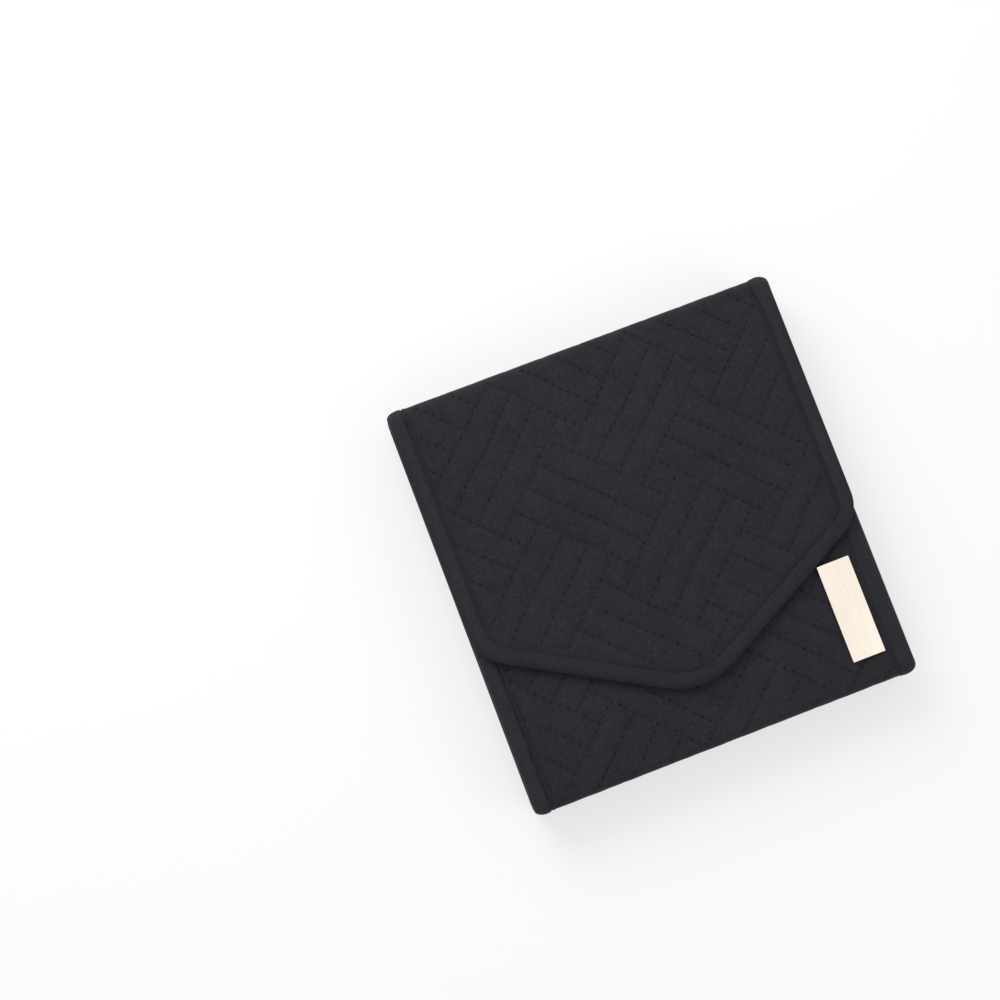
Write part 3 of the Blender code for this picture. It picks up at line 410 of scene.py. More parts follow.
def napped_cloth(name, color, nap=1.0, sheen=0.07, roughness=0.92, seams=None):
    """A brushed cloth: fine nap, soft mottling and, where it is sewn, painted shade along the seams and in the
    needle holes.
    """
    made = bpy.data.materials.new(name)
    tree = nodes_of(made)
    shader = node(tree, "ShaderNodeBsdfPrincipled")
    out = node(tree, "ShaderNodeOutputMaterial")
    tree.links.new(shader.outputs[0], out.inputs["Surface"])
    coordinates = node(tree, "ShaderNodeTexCoord").outputs["Object"]
    grain = noise(tree, coordinates, 2600, 2, 0.6)
    tufts = noise(tree, coordinates, 900, 2, 0.5)
    patches = noise(tree, coordinates, 140, 4, 0.6)
    clouds = noise(tree, coordinates, 28, 2)
    light = computed(
        tree,
        "MULTIPLY",
        ranged(tree, grain, 0.3, 0.7, 1 - 0.34 * nap, 1 + 0.34 * nap),
        ranged(tree, patches, 0.3, 0.7, 1 - 0.10 * nap, 1 + 0.10 * nap),
    )
    light = computed(tree, "MULTIPLY", light, ranged(tree, tufts, 0.3, 0.7, 1 - 0.2 * nap, 1 + 0.2 * nap))
    light = computed(tree, "MULTIPLY", light, ranged(tree, clouds, 0.3, 0.7, 0.94, 1.06))
    specks = node(tree, "ShaderNodeTexVoronoi", feature="F1")
    specks.inputs["Scale"].default_value = 260
    tree.links.new(coordinates, specks.inputs["Vector"])
    spot = ranged(tree, specks.outputs["Distance"], 0.06, 0.14, 1, 0)
    caught = ranged(tree, specks.outputs["Color"], 0.5, 0.85, 0, 1.1)
    lint = computed(tree, "ADD", computed(tree, "MULTIPLY", spot, caught), 1)
    light = computed(tree, "MULTIPLY", light, lint)
    # Painted shade: the cloth is darkened along each seam and painted nearly black at each needle hole.
    if seams:
        seam_shade = node(tree, "ShaderNodeAttribute", attribute_name="seam").outputs["Fac"]
        needle = node(tree, "ShaderNodeAttribute", attribute_name="needle").outputs["Fac"]
        light = computed(tree, "MULTIPLY", light, ranged(tree, seam_shade, 0, 1, 1.0, seams))
        light = computed(tree, "MULTIPLY", light, ranged(tree, needle, 0.1, 0.9, 1.0, 0.1))
    tree.links.new(tinted(tree, color, light), shader.inputs["Base Color"])
    bump = node(tree, "ShaderNodeBump")
    bump.inputs["Strength"].default_value = 0.5
    bump.inputs["Distance"].default_value = 0.12 * MM
    tree.links.new(grain, bump.inputs["Height"])
    tree.links.new(bump.outputs[0], shader.inputs["Normal"])
    shader.inputs["Roughness"].default_value = roughness
    shader.inputs["Specular IOR Level"].default_value = 0.15
    shader.inputs["Sheen Weight"].default_value = sheen
    shader.inputs["Sheen Roughness"].default_value = 0.5
    shader.inputs["Sheen Tint"].default_value = (0.75, 0.74, 0.82, 1)
    return made


CHARCOAL = (0.0196, 0.0187, 0.0236)
# The last value sets how dark the painted shade along the seams goes.
outer_cloth = napped_cloth("outer_cloth", CHARCOAL, seams=0.84)
edge_cloth = napped_cloth("edge_cloth", (0.0222, 0.0213, 0.0267), nap=0.8, seams=0.72)
lining_cloth = napped_cloth("lining_cloth", (0.046, 0.045, 0.052), nap=0.7)
print("cloth materials", [material.name for material in bpy.data.materials])

# %% [markdown]
# ## The bound edge of the strip
#
# The whole strip has one edge: along the front panel's opening, up one side past both spines, round
# the flap's shoulders and blunt point, and down the other side. It is walked like a path on paper,
# with straight runs and round turns. A spin makes each turn a true arc, which a bevelled corner
# would only approach. Everything that follows the edge, the tape and its stitches, reads this path.

# %% Walk round the edge
EDGE_STEP = 1.0 * MM if FINE else 3.0 * MM
FRONT_CORNER = 13.0 * MM
SHOULDER_RADIUS = 18.0 * MM
POINT_RADIUS = 35.0 * MM
POINT_REACH = 49.48 * MM
POINT_ASIDE = 2.0 * MM
right_slope = math.atan(POINT_REACH / (HALF_WIDTH + POINT_ASIDE))
left_slope = math.atan(POINT_REACH / (HALF_WIDTH - POINT_ASIDE))


def walked(start, legs):
    """Points of a closed path, walked with the inside on the left."""
    bm = bmesh.new()
    tip = bm.verts.new((*start, 0))
    heading = Vector((1, 0, 0))
    order = [tip]
    for radius, amount in legs:
        if radius:
            count = max(6, math.ceil(radius * amount / EDGE_STEP))
            left = Vector((-heading.y, heading.x, 0))
            centre = tip.co + left * radius
            for _ in range(count):
                made = bmesh.ops.spin(
                    bm, geom=[tip], cent=centre, axis=(0, 0, 1), angle=amount / count, steps=1
                )
                tip = made["geom_last"][0]
                order.append(tip)
            heading.rotate(Matrix.Rotation(amount, 3, "Z"))
            continue
        count = math.ceil(amount / EDGE_STEP)
        for _ in range(count):
            made = bmesh.ops.extrude_vert_indiv(bm, verts=[tip])
            tip = made["verts"][0]
            tip.co += heading * amount / count
            order.append(tip)
    path = np.array([vert.co[:2] for vert in order[:-1]])
    bm.free()
    return path


def trim(radius, turn):
    """How much of a straight run a round turn takes away."""
    return radius * math.tan(turn / 2)


point_turn = right_slope + left_slope
flap_legs = []
for slope in (right_slope, left_slope):
    shoulder_turn = math.pi / 2 - slope
    shoulder_trim = trim(SHOULDER_RADIUS, shoulder_turn)
    slant = POINT_REACH / math.sin(slope) - shoulder_trim - trim(POINT_RADIUS, point_turn)
    side = SHOULDER - shoulder_trim - FRONT_EDGE - FRONT_CORNER
    flap_legs.append([(0, side), (SHOULDER_RADIUS, shoulder_turn), (0, slant)])
edge = walked(
    (0, FRONT_EDGE),
    [
        (0, HALF_WIDTH - FRONT_CORNER),
        (FRONT_CORNER, math.pi / 2),
        *flap_legs[0],
        (POINT_RADIUS, point_turn),
        *reversed(flap_legs[1]),
        (FRONT_CORNER, math.pi / 2),
        (0, HALF_WIDTH - FRONT_CORNER),
    ],
)
ahead = np.roll(edge, -1, axis=0) - np.roll(edge, 1, axis=0)
ahead /= np.linalg.norm(ahead, axis=1)[:, None]
inward = np.column_stack([-ahead[:, 1], ahead[:, 0]])
steps = np.linalg.norm(np.roll(edge, -1, axis=0) - edge, axis=1)
walk = np.concatenate([[0], np.cumsum(steps)[:-1]])
print("edge", len(edge), "points,", round(steps.sum() / MM), "mm round")


# %% Distance from the edge


def inset_of(x, s):
    """How far inside the edge each point of the strip lies, and below 0 outside it."""
    best = np.full(len(x), 1.0)
    side = np.zeros(len(x))
    for (ex, es), (nx, ns) in zip(edge, inward):
        near = (x - ex) ** 2 + (s - es) ** 2
        closer = near < best
        best = np.where(closer, near, best)
        side = np.where(closer, (x - ex) * nx + (s - es) * ns, side)
    return side


# %% [markdown]
# ## The quilting
#
# Rows of stitches draw groups of three bars that cross each other like a basket weave, turned 45
# degrees. The strip has a little over a hundred bars. The cloth stands up between the seams over a
# thin wadding and is pulled down at each one. Boards hold it flat, so no cloth simulation is used:
# the pillow shape comes from the distance to the nearest seam. The grid lies along the seams, which
# keeps them crisp. The seams wander a little, the front and the flap were each sewn slightly askew,
# and the needle holes along them are unevenly deep.

# %% The pattern of seams
BAR = 11.6 * MM
GROUP = 4
REPEAT = GROUP * math.sqrt(2)
CELLS = 15 if FINE else 6
FRONT_PATTERN = (16.5 * MM, -182.6 * MM, -3 * REPEAT, math.radians(1.9))
FLAP_PATTERN = (13.0 * MM, 223.4 * MM, 3 * REPEAT, math.radians(0.6))


def set_out(x, s, pattern):
    """Bars across and along from the middle of one group of a cloth that lies slightly askew."""
    across, along, before, askew = pattern
    a = (x - across) * math.cos(askew) + (s - along) * math.sin(askew)
    b = (s - along) * math.cos(askew) - (x - across) * math.sin(askew)
    return a / BAR, b / BAR + before


def counted(x, s):
    """Bars across and along: as set out on the front and on the flap, and evenly in between."""
    share = np.clip((s - BOTTOM_END) / (TOP_END - BOTTOM_END), 0, 1)
    front = set_out(x, np.minimum(s, BOTTOM_END), FRONT_PATTERN)
    flap = set_out(x, np.maximum(s, TOP_END), FLAP_PATTERN)
    wander = 0.07 * ripple(x, s, 52 * MM, 21), 0.07 * ripple(x, s, 52 * MM, 22)
    return [low + share * (high - low) + off for low, high, off in zip(front, flap, wander)]


def to_bars(x, s):
    """Places across and along the strip, counted in bars along the two ways of the seams."""
    a, b = counted(x, s)
    return (a + b) * math.sqrt(0.5), (b - a) * math.sqrt(0.5)


def from_bars(p, q):
    """The way back from bars to places on the strip, found in a few steps."""
    a, b = (p - q) * math.sqrt(0.5), (p + q) * math.sqrt(0.5)
    x, s = a * BAR, b * BAR
    for _ in range(12):
        a_here, b_here = counted(x, s)
        x, s = x + (a - a_here) * BAR, s + (b - b_here) * BAR
    return x, s


def past_seam(across, along):
    """How far a place along the seam line at 'across' lies past the end of its nearest seam."""
    group = np.floor(across / GROUP + 0.5)
    offset = np.mod(along - group * GROUP, 2 * GROUP)
    return np.maximum(np.minimum(offset, 2 * GROUP - offset) - GROUP / 2 - 0.5, 0)


def to_seam(p, q):
    """Distance to the nearest seam, and the place along that seam, in bars."""
    best, along = np.full(len(p), 9.0), np.zeros(len(p))
    for across, beside, shift in ((p, q, 0), (q, p, GROUP)):
        low = np.floor(across - 0.5) + 0.5
        for line in (low, low + 1):
            away = np.hypot(across - line, past_seam(line, beside + shift))
            along = np.where(away < best, beside, along)
            best = np.minimum(best, away)
    return best, along


print("bars are", BAR / MM, "mm wide and needle holes", round(BAR / 3 / MM, 2), "mm apart")

# %% Make the quilted cloth of one fold zone
SEAM_DEPTH = 1.0 * MM
CROWN = 0.55 * MM
SHOULDER_OF_CROWN = 4.2 * MM
CLOTH_MARGIN = 6.0 * MM
FIELD_EDGE = 9.3 * MM
FOLD_BULGE = 0.75 * MM


def seam_grid(low, high):
    """A grid along the seams that covers the strip between two places along it."""
    size = BAR / CELLS
    corners = [(x, s) for x in (-HALF_WIDTH, HALF_WIDTH) for s in (low, high)]
    ways = np.array([to_bars(np.array([x]), np.array([s])) for x, s in corners])[:, :, 0]
    first = np.floor(ways.min(axis=0) * CELLS) - 3
    count = (np.ceil(ways.max(axis=0) * CELLS) + 3 - first).astype(int)
    mesh, u, v = grid(int(count[0]), int(count[1]))
    p = (first[0] + u * count[0] + 0.5) / CELLS
    q = (first[1] + v * count[1] + 0.5) / CELLS
    x, s = from_bars(p, q)
    moved(mesh, x, s, np.zeros(len(x)))
    bm = bmesh.new()
    bm.from_mesh(mesh)
    bpy.data.meshes.remove(mesh)
    spare = 3 * size
    outside = [
        vert
        for vert in bm.verts
        if abs(vert.co.x) > HALF_WIDTH or not low - spare < vert.co.y < high + spare
    ]
    bmesh.ops.delete(bm, geom=outside, context="VERTS")
    return bm


def trimmed(bm, low, high, margin):
    """Cuts the cloth off square at both ends and leaves the rest ragged under the edge tape."""
    for at, way in ((low, -1), (high, 1)):
        whole = bm.verts[:] + bm.edges[:] + bm.faces[:]
        bmesh.ops.bisect_plane(
            bm, geom=whole, dist=1e-7, plane_co=(0, at, 0), plane_no=(0, way, 0), clear_outer=True
        )
    bm.verts.index_update()
    bm.verts.ensure_lookup_table()
    flat = np.array([vert.co[:2] for vert in bm.verts])
    inset = inset_of(flat[:, 0], flat[:, 1])
    bmesh.ops.delete(
        bm, geom=[vert for vert in bm.verts if inset[vert.index] < margin], context="VERTS"
    )
    mesh = bpy.data.meshes.new("cloth")
    bm.to_mesh(mesh)
    bm.free()
    return mesh


def slack(s):
    """How far the wadding may rise: little where the cloth is pulled tight round a fold."""
    tight = np.zeros_like(s)
    for first, last in ((BACK_END, TOP_START), (TOP_END, FLAP_START)):
        near = np.maximum(np.maximum(first - s, s - last), 0)
        tight = np.maximum(tight, np.exp(-((near / (2.5 * MM)) ** 2)))
    for first, last in ((BOTTOM_START, -BACK_END), (FRONT_START, BOTTOM_END)):
        near = np.maximum(np.maximum(first - s, s - last), 0)
        tight = np.maximum(tight, np.exp(-((near / (2.5 * MM)) ** 2)))
    return 1 - 0.8 * tight


def at_spine(s):
    """1 along the bottom and top spines of the strip and 0 on its panels, with soft steps."""
    ease, reach = 3 * MM, 9 * MM
    bottom = eased((-BACK_END + ease - s) / reach) * eased((s - FRONT_START + ease) / reach)
    top = eased((s - BACK_END + ease) / reach) * eased((FLAP_START + ease - s) / reach)
    return bottom + top


def quilted(low, high):
    """The outer cloth between two places along the strip, with its pillows, seams and holes."""
    mesh = trimmed(seam_grid(low, high), low, high, CLOTH_MARGIN)
    x, s, _ = places(mesh).T
    p, q = to_bars(x, s)
    away, along = to_seam(p, q)
    reach = np.minimum(away * BAR, np.maximum(inset_of(x, s) - FIELD_EDGE, 0))
    slope = np.clip(reach / SHOULDER_OF_CROWN, 0, 1)
    crown = CROWN * (0.5 + 0.5 * slope) * np.sqrt(1 - (1 - slope) ** 2) * slack(s)
    beside = np.exp(-away * BAR / (1.3 * MM))
    crown -= 0.06 * MM * beside * np.cos(math.tau * 3 * (along - 0.5))
    crown += 0.07 * MM * ripple(x, s, 11 * MM, 3) * slope
    stray = 0.1 * ripple(x, s, 7 * MM, 14)
    stitch = (np.mod((along - 0.5) * 3 + 0.5 + stray, 1) - 0.5) * BAR / 3
    uneven = 0.28 * ripple(x, s, 17 * MM, 12) + 0.34 * ripple(x, s, 5.9 * MM, 15)
    size = 1 + 0.24 * ripple(x, s, 5.3 * MM, 13)
    hole = np.exp(-((stitch / size / (0.6 * MM)) ** 4) - (away * BAR / size / (0.52 * MM)) ** 4)
    pull = hole * np.clip(0.7 + uneven, 0.08, 1) * (inset_of(x, s) > FIELD_EDGE)
    depth = SEAM_DEPTH - 0.25 * MM - crown + 0.35 * MM * pull - FOLD_BULGE * at_spine(s)
    y, z = rolled(s, depth)
    moved(mesh, x, y, z)
    laid_out(mesh, x, s)
    # These marks paint shade on the cloth along the seams and in the needle holes.
    marked(mesh, "seam", np.exp(-(away * BAR) / (0.8 * MM)))
    marked(mesh, "needle", pull)
    return mesh


STRIP_END = SHOULDER + POINT_REACH
SPANS = {
    "front": (FRONT_EDGE, MIDDLES[0]),
    "lower": (MIDDLES[0], MIDDLES[1]),
    "upper": (MIDDLES[1], MIDDLES[2]),
    "flap": (MIDDLES[2], STRIP_END),
}
STANDS_FOR = {
    "front": "front",
    "lower": "bottom_spine",
    "upper": "top_spine",
    "flap": "flap",
}


CUT = {zone: (2 * HALF_WIDTH, high - low) for zone, (low, high) in SPANS.items()}
CUT_AREA = {zone: width * length for zone, (width, length) in CUT.items()}
CUT_AREA["flap"] -= HALF_WIDTH * POINT_REACH


def facing_out(mesh):
    """Turns the cloth's faces to the outside of the strip."""
    bm = bmesh.new()
    bm.from_mesh(mesh)
    bm.normal_update()
    heart = Vector((0, 0, CASE_DEPTH / 2))
    total = sum((face.normal.dot(face.calc_center_median() - heart)) for face in bm.faces)
    if total < 0:
        bmesh.ops.reverse_faces(bm, faces=bm.faces)
    bm.to_mesh(mesh)
    bm.free()


for zone, (low, high) in SPANS.items():
    mesh = quilted(low, high)
    facing_out(mesh)
    cloth = piece(mesh, zone + "_quilting", outer_cloth)
    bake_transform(cloth)
    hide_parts(STANDS_FOR[zone] + "_cover")
    if zone == "upper":
        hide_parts("back_cover")
    print(cloth.name, len(mesh.polygons), "faces")

# %% [markdown]
# ## The edge tape
#
# A strip of the same cloth is folded over the whole edge and sewn down 7 mm in. On the real case it
# is slightly padded by the layers inside it, with a soft round outer edge. Its line of stitches is
# crisp on the left, fainter on the right and hardly shows on the flap, where the tape is rounder. Its
# cut across is drawn once and carried along the walked edge on a long grid.

# %% Sweep the edge tape
TAPE_FACE = [
    (9.25, 0.95), (9.52, 0.70), (9.48, 0.36), (9.15, 0.20), (8.50, 0.15), (7.85, 0.22),
    (7.40, 0.42), (7.22, 0.66), (7.02, 0.66), (6.82, 0.40), (6.35, 0.18), (5.60, 0.06),
    (4.40, 0.00), (3.00, 0.06), (1.70, 0.32), (0.80, 0.80), (0.22, 1.50),
]
tape_section = np.array(
    TAPE_FACE
    + [(0.0, 2.45)]
    + [(inset, 4.9 - depth) for inset, depth in reversed(TAPE_FACE)]
    + [(1.9, 4.15), (0.9, 3.6), (0.75, 2.45), (0.9, 1.3), (1.9, 0.75)]
) * MM


SEW_LINE = 7.12 * MM
TAPE_HEM = 9.5 * MM
TAPE_STITCH = 3.93 * MM
CORNER_SWELL = 0.9 * MM


def tape_piece(first, last):
    """The edge tape between two stations of the walked edge."""
    chosen = np.arange(first, last + 1) % len(edge)
    length = np.concatenate([[0], np.cumsum(steps[chosen[:-1]])]) + walk[first % len(edge)]
    mesh, u, v = grid(len(chosen) - 1, len(tape_section))
    station = np.rint(u * (len(chosen) - 1)).astype(int)
    corner = np.rint(v * len(tape_section)).astype(int) % len(tape_section)
    inset, depth = tape_section[corner].T
    index = chosen[station]
    here = length[station]
    drawn = inset.copy()
    near = np.exp(-((inset - SEW_LINE) ** 2) / (1.1 * MM) ** 2)
    outer = np.where(depth < PANEL / 2, -1.0, 1.0) * ((depth < 0.74 * MM) | (depth > 4.16 * MM))
    on_flap = eased((edge[index, 1] - FLAP_START) / (12 * MM))
    on_right = eased((edge[index, 0] + 40 * MM) / (80 * MM)) * (1 - on_flap)
    on_front = eased((FRONT_START - edge[index, 1]) / (12 * MM))
    sewn = (1 - on_flap) * (1.1 - 0.25 * on_right - 0.7 * on_right * on_front)
    sewn *= 0.85 + 0.3 * ripple(here, here * 0, 70 * MM, 9)
    soft = 1 - np.clip(sewn, 0, 1)
    depth = depth + outer * near * 0.42 * MM * soft
    depth = depth - outer * 0.40 * MM * soft * eased((inset - 6.2 * MM) / (2.6 * MM))
    depth = depth - outer * near * 0.06 * MM * np.cos(math.tau * here / TAPE_STITCH)
    depth = depth + outer * 0.11 * MM * (ripple(here, inset, 9 * MM, 8) - 1)
    rounder = np.clip(1 - inset / (6.5 * MM), 0, 1) ** 1.3 * np.clip(1 - depth / (2.45 * MM), 0, 1)
    depth = depth + 1.6 * MM * on_flap * rounder
    inset = inset + 0.18 * MM * ripple(here, here * 0, 12 * MM, 5) * (inset > 5 * MM)
    inset = inset + 1.4 * MM * on_right * eased((inset - 4.5 * MM) / (2.4 * MM))
    s = edge[index, 1] + inward[index, 1] * inset
    folded = at_spine(s)
    round_off = np.clip(1 - depth / (2.6 * MM), 0, 1) ** 1.5 * np.clip(1 - inset / (7 * MM), 0, 1)
    inset = inset + 2.2 * MM * folded * round_off
    x = edge[index, 0] + inward[index, 0] * inset
    y, z = rolled(s, depth - CORNER_SWELL * folded * np.clip(1 - inset / (11 * MM), 0, 1) ** 0.4)
    moved(mesh, x, y, z)
    laid_out(mesh, here, inset + depth)
    # Painted shade: a dark band over the sewn groove and, on the flap, along the tape's rounded outer edge, and
    # dark lines at the stitches and the hem.
    tape_shade = eased((drawn - 5.8 * MM) / (1.3 * MM)) * eased((10.2 * MM - drawn) / (1.2 * MM))
    tape_shade *= (1 - 0.5 * on_right * on_front) * (np.abs(outer) > 0)
    tape_shade = np.maximum(tape_shade, on_flap * np.exp(-((drawn / (1.9 * MM)) ** 2)))
    line = sewn * np.exp(-(((drawn - SEW_LINE) / (0.3 * MM)) ** 2))
    line += (1 - 0.7 * soft) * np.exp(-(((drawn - TAPE_HEM) / (0.2 * MM)) ** 2))
    marked(mesh, "seam", tape_shade)
    marked(mesh, "needle", np.clip(line, 0, 1) * 0.55)
    return mended(mesh)


def station_at(side, s):
    """The edge's station on the left (-1) or right (1) side at a place along the strip."""
    away = np.hypot(edge[:, 0] - side * HALF_WIDTH, edge[:, 1] - s)
    return int(np.argmin(away))


marks = {side: [station_at(side, s) for s in MIDDLES] for side in (-1, 1)}
count = len(edge)
tapes = {
    "front_tape": ("front", marks[-1][0], marks[1][0] + count, ["front_binding"]),
    "lower_tape_right": ("lower", marks[1][0], marks[1][1], ["bottom_spine_binding_right"]),
    "upper_tape_right": ("upper", marks[1][1], marks[1][2], ["back_binding_right", "top_spine_binding_right"]),
    "flap_tape": ("flap", marks[1][2], marks[-1][2], ["flap_binding"]),
    "upper_tape_left": ("upper", marks[-1][2], marks[-1][1], ["back_binding_left", "top_spine_binding_left"]),
    "lower_tape_left": ("lower", marks[-1][1], marks[-1][0], ["bottom_spine_binding_left"]),
}
for name, (zone, first, last, stood_for) in tapes.items():
    tape = piece(tape_piece(first, last), name, edge_cloth)
    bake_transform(tape)
    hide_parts(*stood_for)
    print(name, last - first, "stations")

# %% [markdown]
# ## The lining
#
# Inside, each panel is faced with a plain brushed lining, pulled smooth over the board. It creases
# only where the strip folds. The same rolled strip carries it, one layer's depth further in, so it
# meets the tape all round without being fitted by hand.

# %% Line the strip
LINING_FACE = 3.9 * MM
FOLD_MIDDLES = np.array([BACK_END + TOP_START, TOP_END + FLAP_START]) / 2
LOW_FOLD_MIDDLES = np.array([-BACK_END + BOTTOM_START, BOTTOM_END + FRONT_START]) / 2
INNER_NODES = {
    "front": ["front_lining"],
    "lower": ["bottom_spine_lining"],
    "upper": ["back_lining", "top_spine_lining"],
    "flap": ["flap_lining"],
}


def runs(stops, step):
    """Places through all the stops, evenly spaced between each two of them."""
    found = [stops[0]]
    for start, end in zip(stops, stops[1:]):
        count = max(1, round((end - start) / step))
        found += [start + (end - start) * (k + 1) / count for k in range(count)]
    return np.array(found)


def lattice(xs, ys):
    """A flat grid through given places across and along, and the two places of each point."""
    mesh, u, v = grid(len(xs) - 1, len(ys) - 1)
    column = np.rint(u * (len(xs) - 1)).astype(int)
    row = np.rint(v * (len(ys) - 1)).astype(int)
    return mesh, xs[column], ys[row]


def creased(s):
    """How near a place along the strip is to the middle of a fold, from 0 to 1."""
    middles = np.concatenate([FOLD_MIDDLES, LOW_FOLD_MIDDLES])
    return np.exp(-((np.abs(s[:, None] - middles).min(axis=1) / (4.5 * MM)) ** 2))


def lining_piece(low, high):
    """The lining between two places along the strip."""
    step = 1.6 * MM if FINE else 4 * MM
    mesh, x, s = lattice(runs([-HALF_WIDTH, HALF_WIDTH], step), runs([low, high], step / 2))
    moved(mesh, x, s, np.zeros(len(x)))
    bm = bmesh.new()
    bm.from_mesh(mesh)
    inset = inset_of(x, s)
    bm.verts.ensure_lookup_table()
    cut = [bm.verts[int(index)] for index in np.flatnonzero(inset < CLOTH_MARGIN)]
    bmesh.ops.delete(bm, geom=cut, context="VERTS")
    bm.to_mesh(mesh)
    bm.free()
    x, s, _ = places(mesh).T
    folded = creased(s)
    depth = LINING_FACE - 0.05 * MM * (1 + ripple(x, s, 23 * MM, 21))
    depth += 0.10 * MM * folded * np.sin(math.tau * s / (1.7 * MM) + 2 * ripple(x, s, 40 * MM, 22))
    y, z = rolled(s, depth)
    moved(mesh, x, y, z)
    laid_out(mesh, x, s)
    return mesh


for zone, (low, high) in SPANS.items():
    mesh = lining_piece(low, high)
    inner = piece(mesh, zone + "_inner_cloth", lining_cloth)
    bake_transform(inner)
    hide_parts(*INNER_NODES[zone])
    print(inner.name, len(mesh.polygons), "faces")

# %% [markdown]
# ## Metal, woven tape and leatherette
#
# The zip, the snaps and the plate have the same pale rose gold plating: metallic, softly brushed in
# one direction, a little uneven in gloss. The zip's tapes and the elastic are woven, so two crossed
# waves raise their threads. Each pattern is counted in metres of the piece's own UV map or place,
# so a thread keeps its size.

# %% More materials


def brushed_metal(name, color, roughness=0.3, way=(60, 1500, 1500)):
    """Plated metal, brushed finely along one way."""
    made = bpy.data.materials.new(name)
    tree = nodes_of(made)
    shader = node(tree, "ShaderNodeBsdfPrincipled")
    out = node(tree, "ShaderNodeOutputMaterial")
    tree.links.new(shader.outputs[0], out.inputs["Surface"])
    coordinates = node(tree, "ShaderNodeTexCoord").outputs["Object"]
    stretch = node(tree, "ShaderNodeVectorMath", operation="MULTIPLY")
    stretch.inputs[1].default_value = way
    tree.links.new(coordinates, stretch.inputs[0])
    strokes = noise(tree, stretch.outputs[0], 1.0, 3, 0.6)
    clouds = noise(tree, coordinates, 90, 3, 0.5)
    gloss = computed(
        tree,
        "MULTIPLY",
        ranged(tree, strokes, 0.3, 0.7, 0.88 * roughness, 1.12 * roughness),
        ranged(tree, clouds, 0.3, 0.7, 0.9, 1.15),
    )
    tree.links.new(gloss, shader.inputs["Roughness"])
    shade = ranged(tree, strokes, 0.3, 0.7, 0.97, 1.02)
    tree.links.new(tinted(tree, color, shade), shader.inputs["Base Color"])
    bump = node(tree, "ShaderNodeBump")
    bump.inputs["Strength"].default_value = 0.12
    bump.inputs["Distance"].default_value = 0.02 * MM
    tree.links.new(strokes, bump.inputs["Height"])
    tree.links.new(bump.outputs[0], shader.inputs["Normal"])
    shader.inputs["Metallic"].default_value = 1.0
    return made


def woven(name, color, thread, relief=0.12):
    """A woven tape: two crossed waves of threads on the piece's own UV map."""
    made = bpy.data.materials.new(name)
    tree = nodes_of(made)
    shader = node(tree, "ShaderNodeBsdfPrincipled")
    out = node(tree, "ShaderNodeOutputMaterial")
    tree.links.new(shader.outputs[0], out.inputs["Surface"])
    cloth = node(tree, "ShaderNodeUVMap", uv_map="cloth").outputs[0]
    waves = []
    for way in ("X", "Y"):
        wave = node(tree, "ShaderNodeTexWave", wave_type="BANDS", bands_direction=way)
        wave.inputs["Scale"].default_value = math.tau / 20 / thread
        wave.inputs["Distortion"].default_value = 0.6
        wave.inputs["Detail"].default_value = 1
        tree.links.new(cloth, wave.inputs["Vector"])
        waves.append(wave.outputs["Fac"])
    threads = computed(tree, "MAXIMUM", waves[0], waves[1])
    fuzz = noise(tree, cloth, 2200, 2, 0.6)
    light = computed(
        tree,
        "MULTIPLY",
        ranged(tree, threads, 0.3, 1.0, 0.62, 1.18),
        ranged(tree, fuzz, 0.3, 0.7, 0.88, 1.12),
    )
    tree.links.new(tinted(tree, color, light), shader.inputs["Base Color"])
    bump = node(tree, "ShaderNodeBump")
    bump.inputs["Strength"].default_value = 0.7
    bump.inputs["Distance"].default_value = relief * MM
    tree.links.new(computed(tree, "ADD", threads, computed(tree, "MULTIPLY", fuzz, 0.3)), bump.inputs["Height"])
    tree.links.new(bump.outputs[0], shader.inputs["Normal"])
    shader.inputs["Roughness"].default_value = 0.85
    shader.inputs["Specular IOR Level"].default_value = 0.25
    shader.inputs["Sheen Weight"].default_value = 0.06
    return made


def grained(name, color):
    """Leatherette: small pebbles with creases between them."""
    made = bpy.data.materials.new(name)
    tree = nodes_of(made)
    shader = node(tree, "ShaderNodeBsdfPrincipled")
    out = node(tree, "ShaderNodeOutputMaterial")
    tree.links.new(shader.outputs[0], out.inputs["Surface"])
    coordinates = node(tree, "ShaderNodeTexCoord").outputs["Object"]
    pebbles = node(tree, "ShaderNodeTexVoronoi", feature="SMOOTH_F1")
    pebbles.inputs["Scale"].default_value = 1100
    tree.links.new(coordinates, pebbles.inputs["Vector"])
    fine = noise(tree, coordinates, 3000, 2)
    height = computed(tree, "SUBTRACT", computed(tree, "MULTIPLY", fine, 0.25), pebbles.outputs["Distance"])
    light = ranged(tree, pebbles.outputs["Distance"], 0.1, 0.6, 1.08, 0.8)
    tree.links.new(tinted(tree, color, light), shader.inputs["Base Color"])
    bump = node(tree, "ShaderNodeBump")
    bump.inputs["Strength"].default_value = 0.5
    bump.inputs["Distance"].default_value = 0.1 * MM
    tree.links.new(height, bump.inputs["Height"])
    tree.links.new(bump.outputs[0], shader.inputs["Normal"])
    shader.inputs["Roughness"].default_value = 0.62
    shader.inputs["Specular IOR Level"].default_value = 0.25
    return made


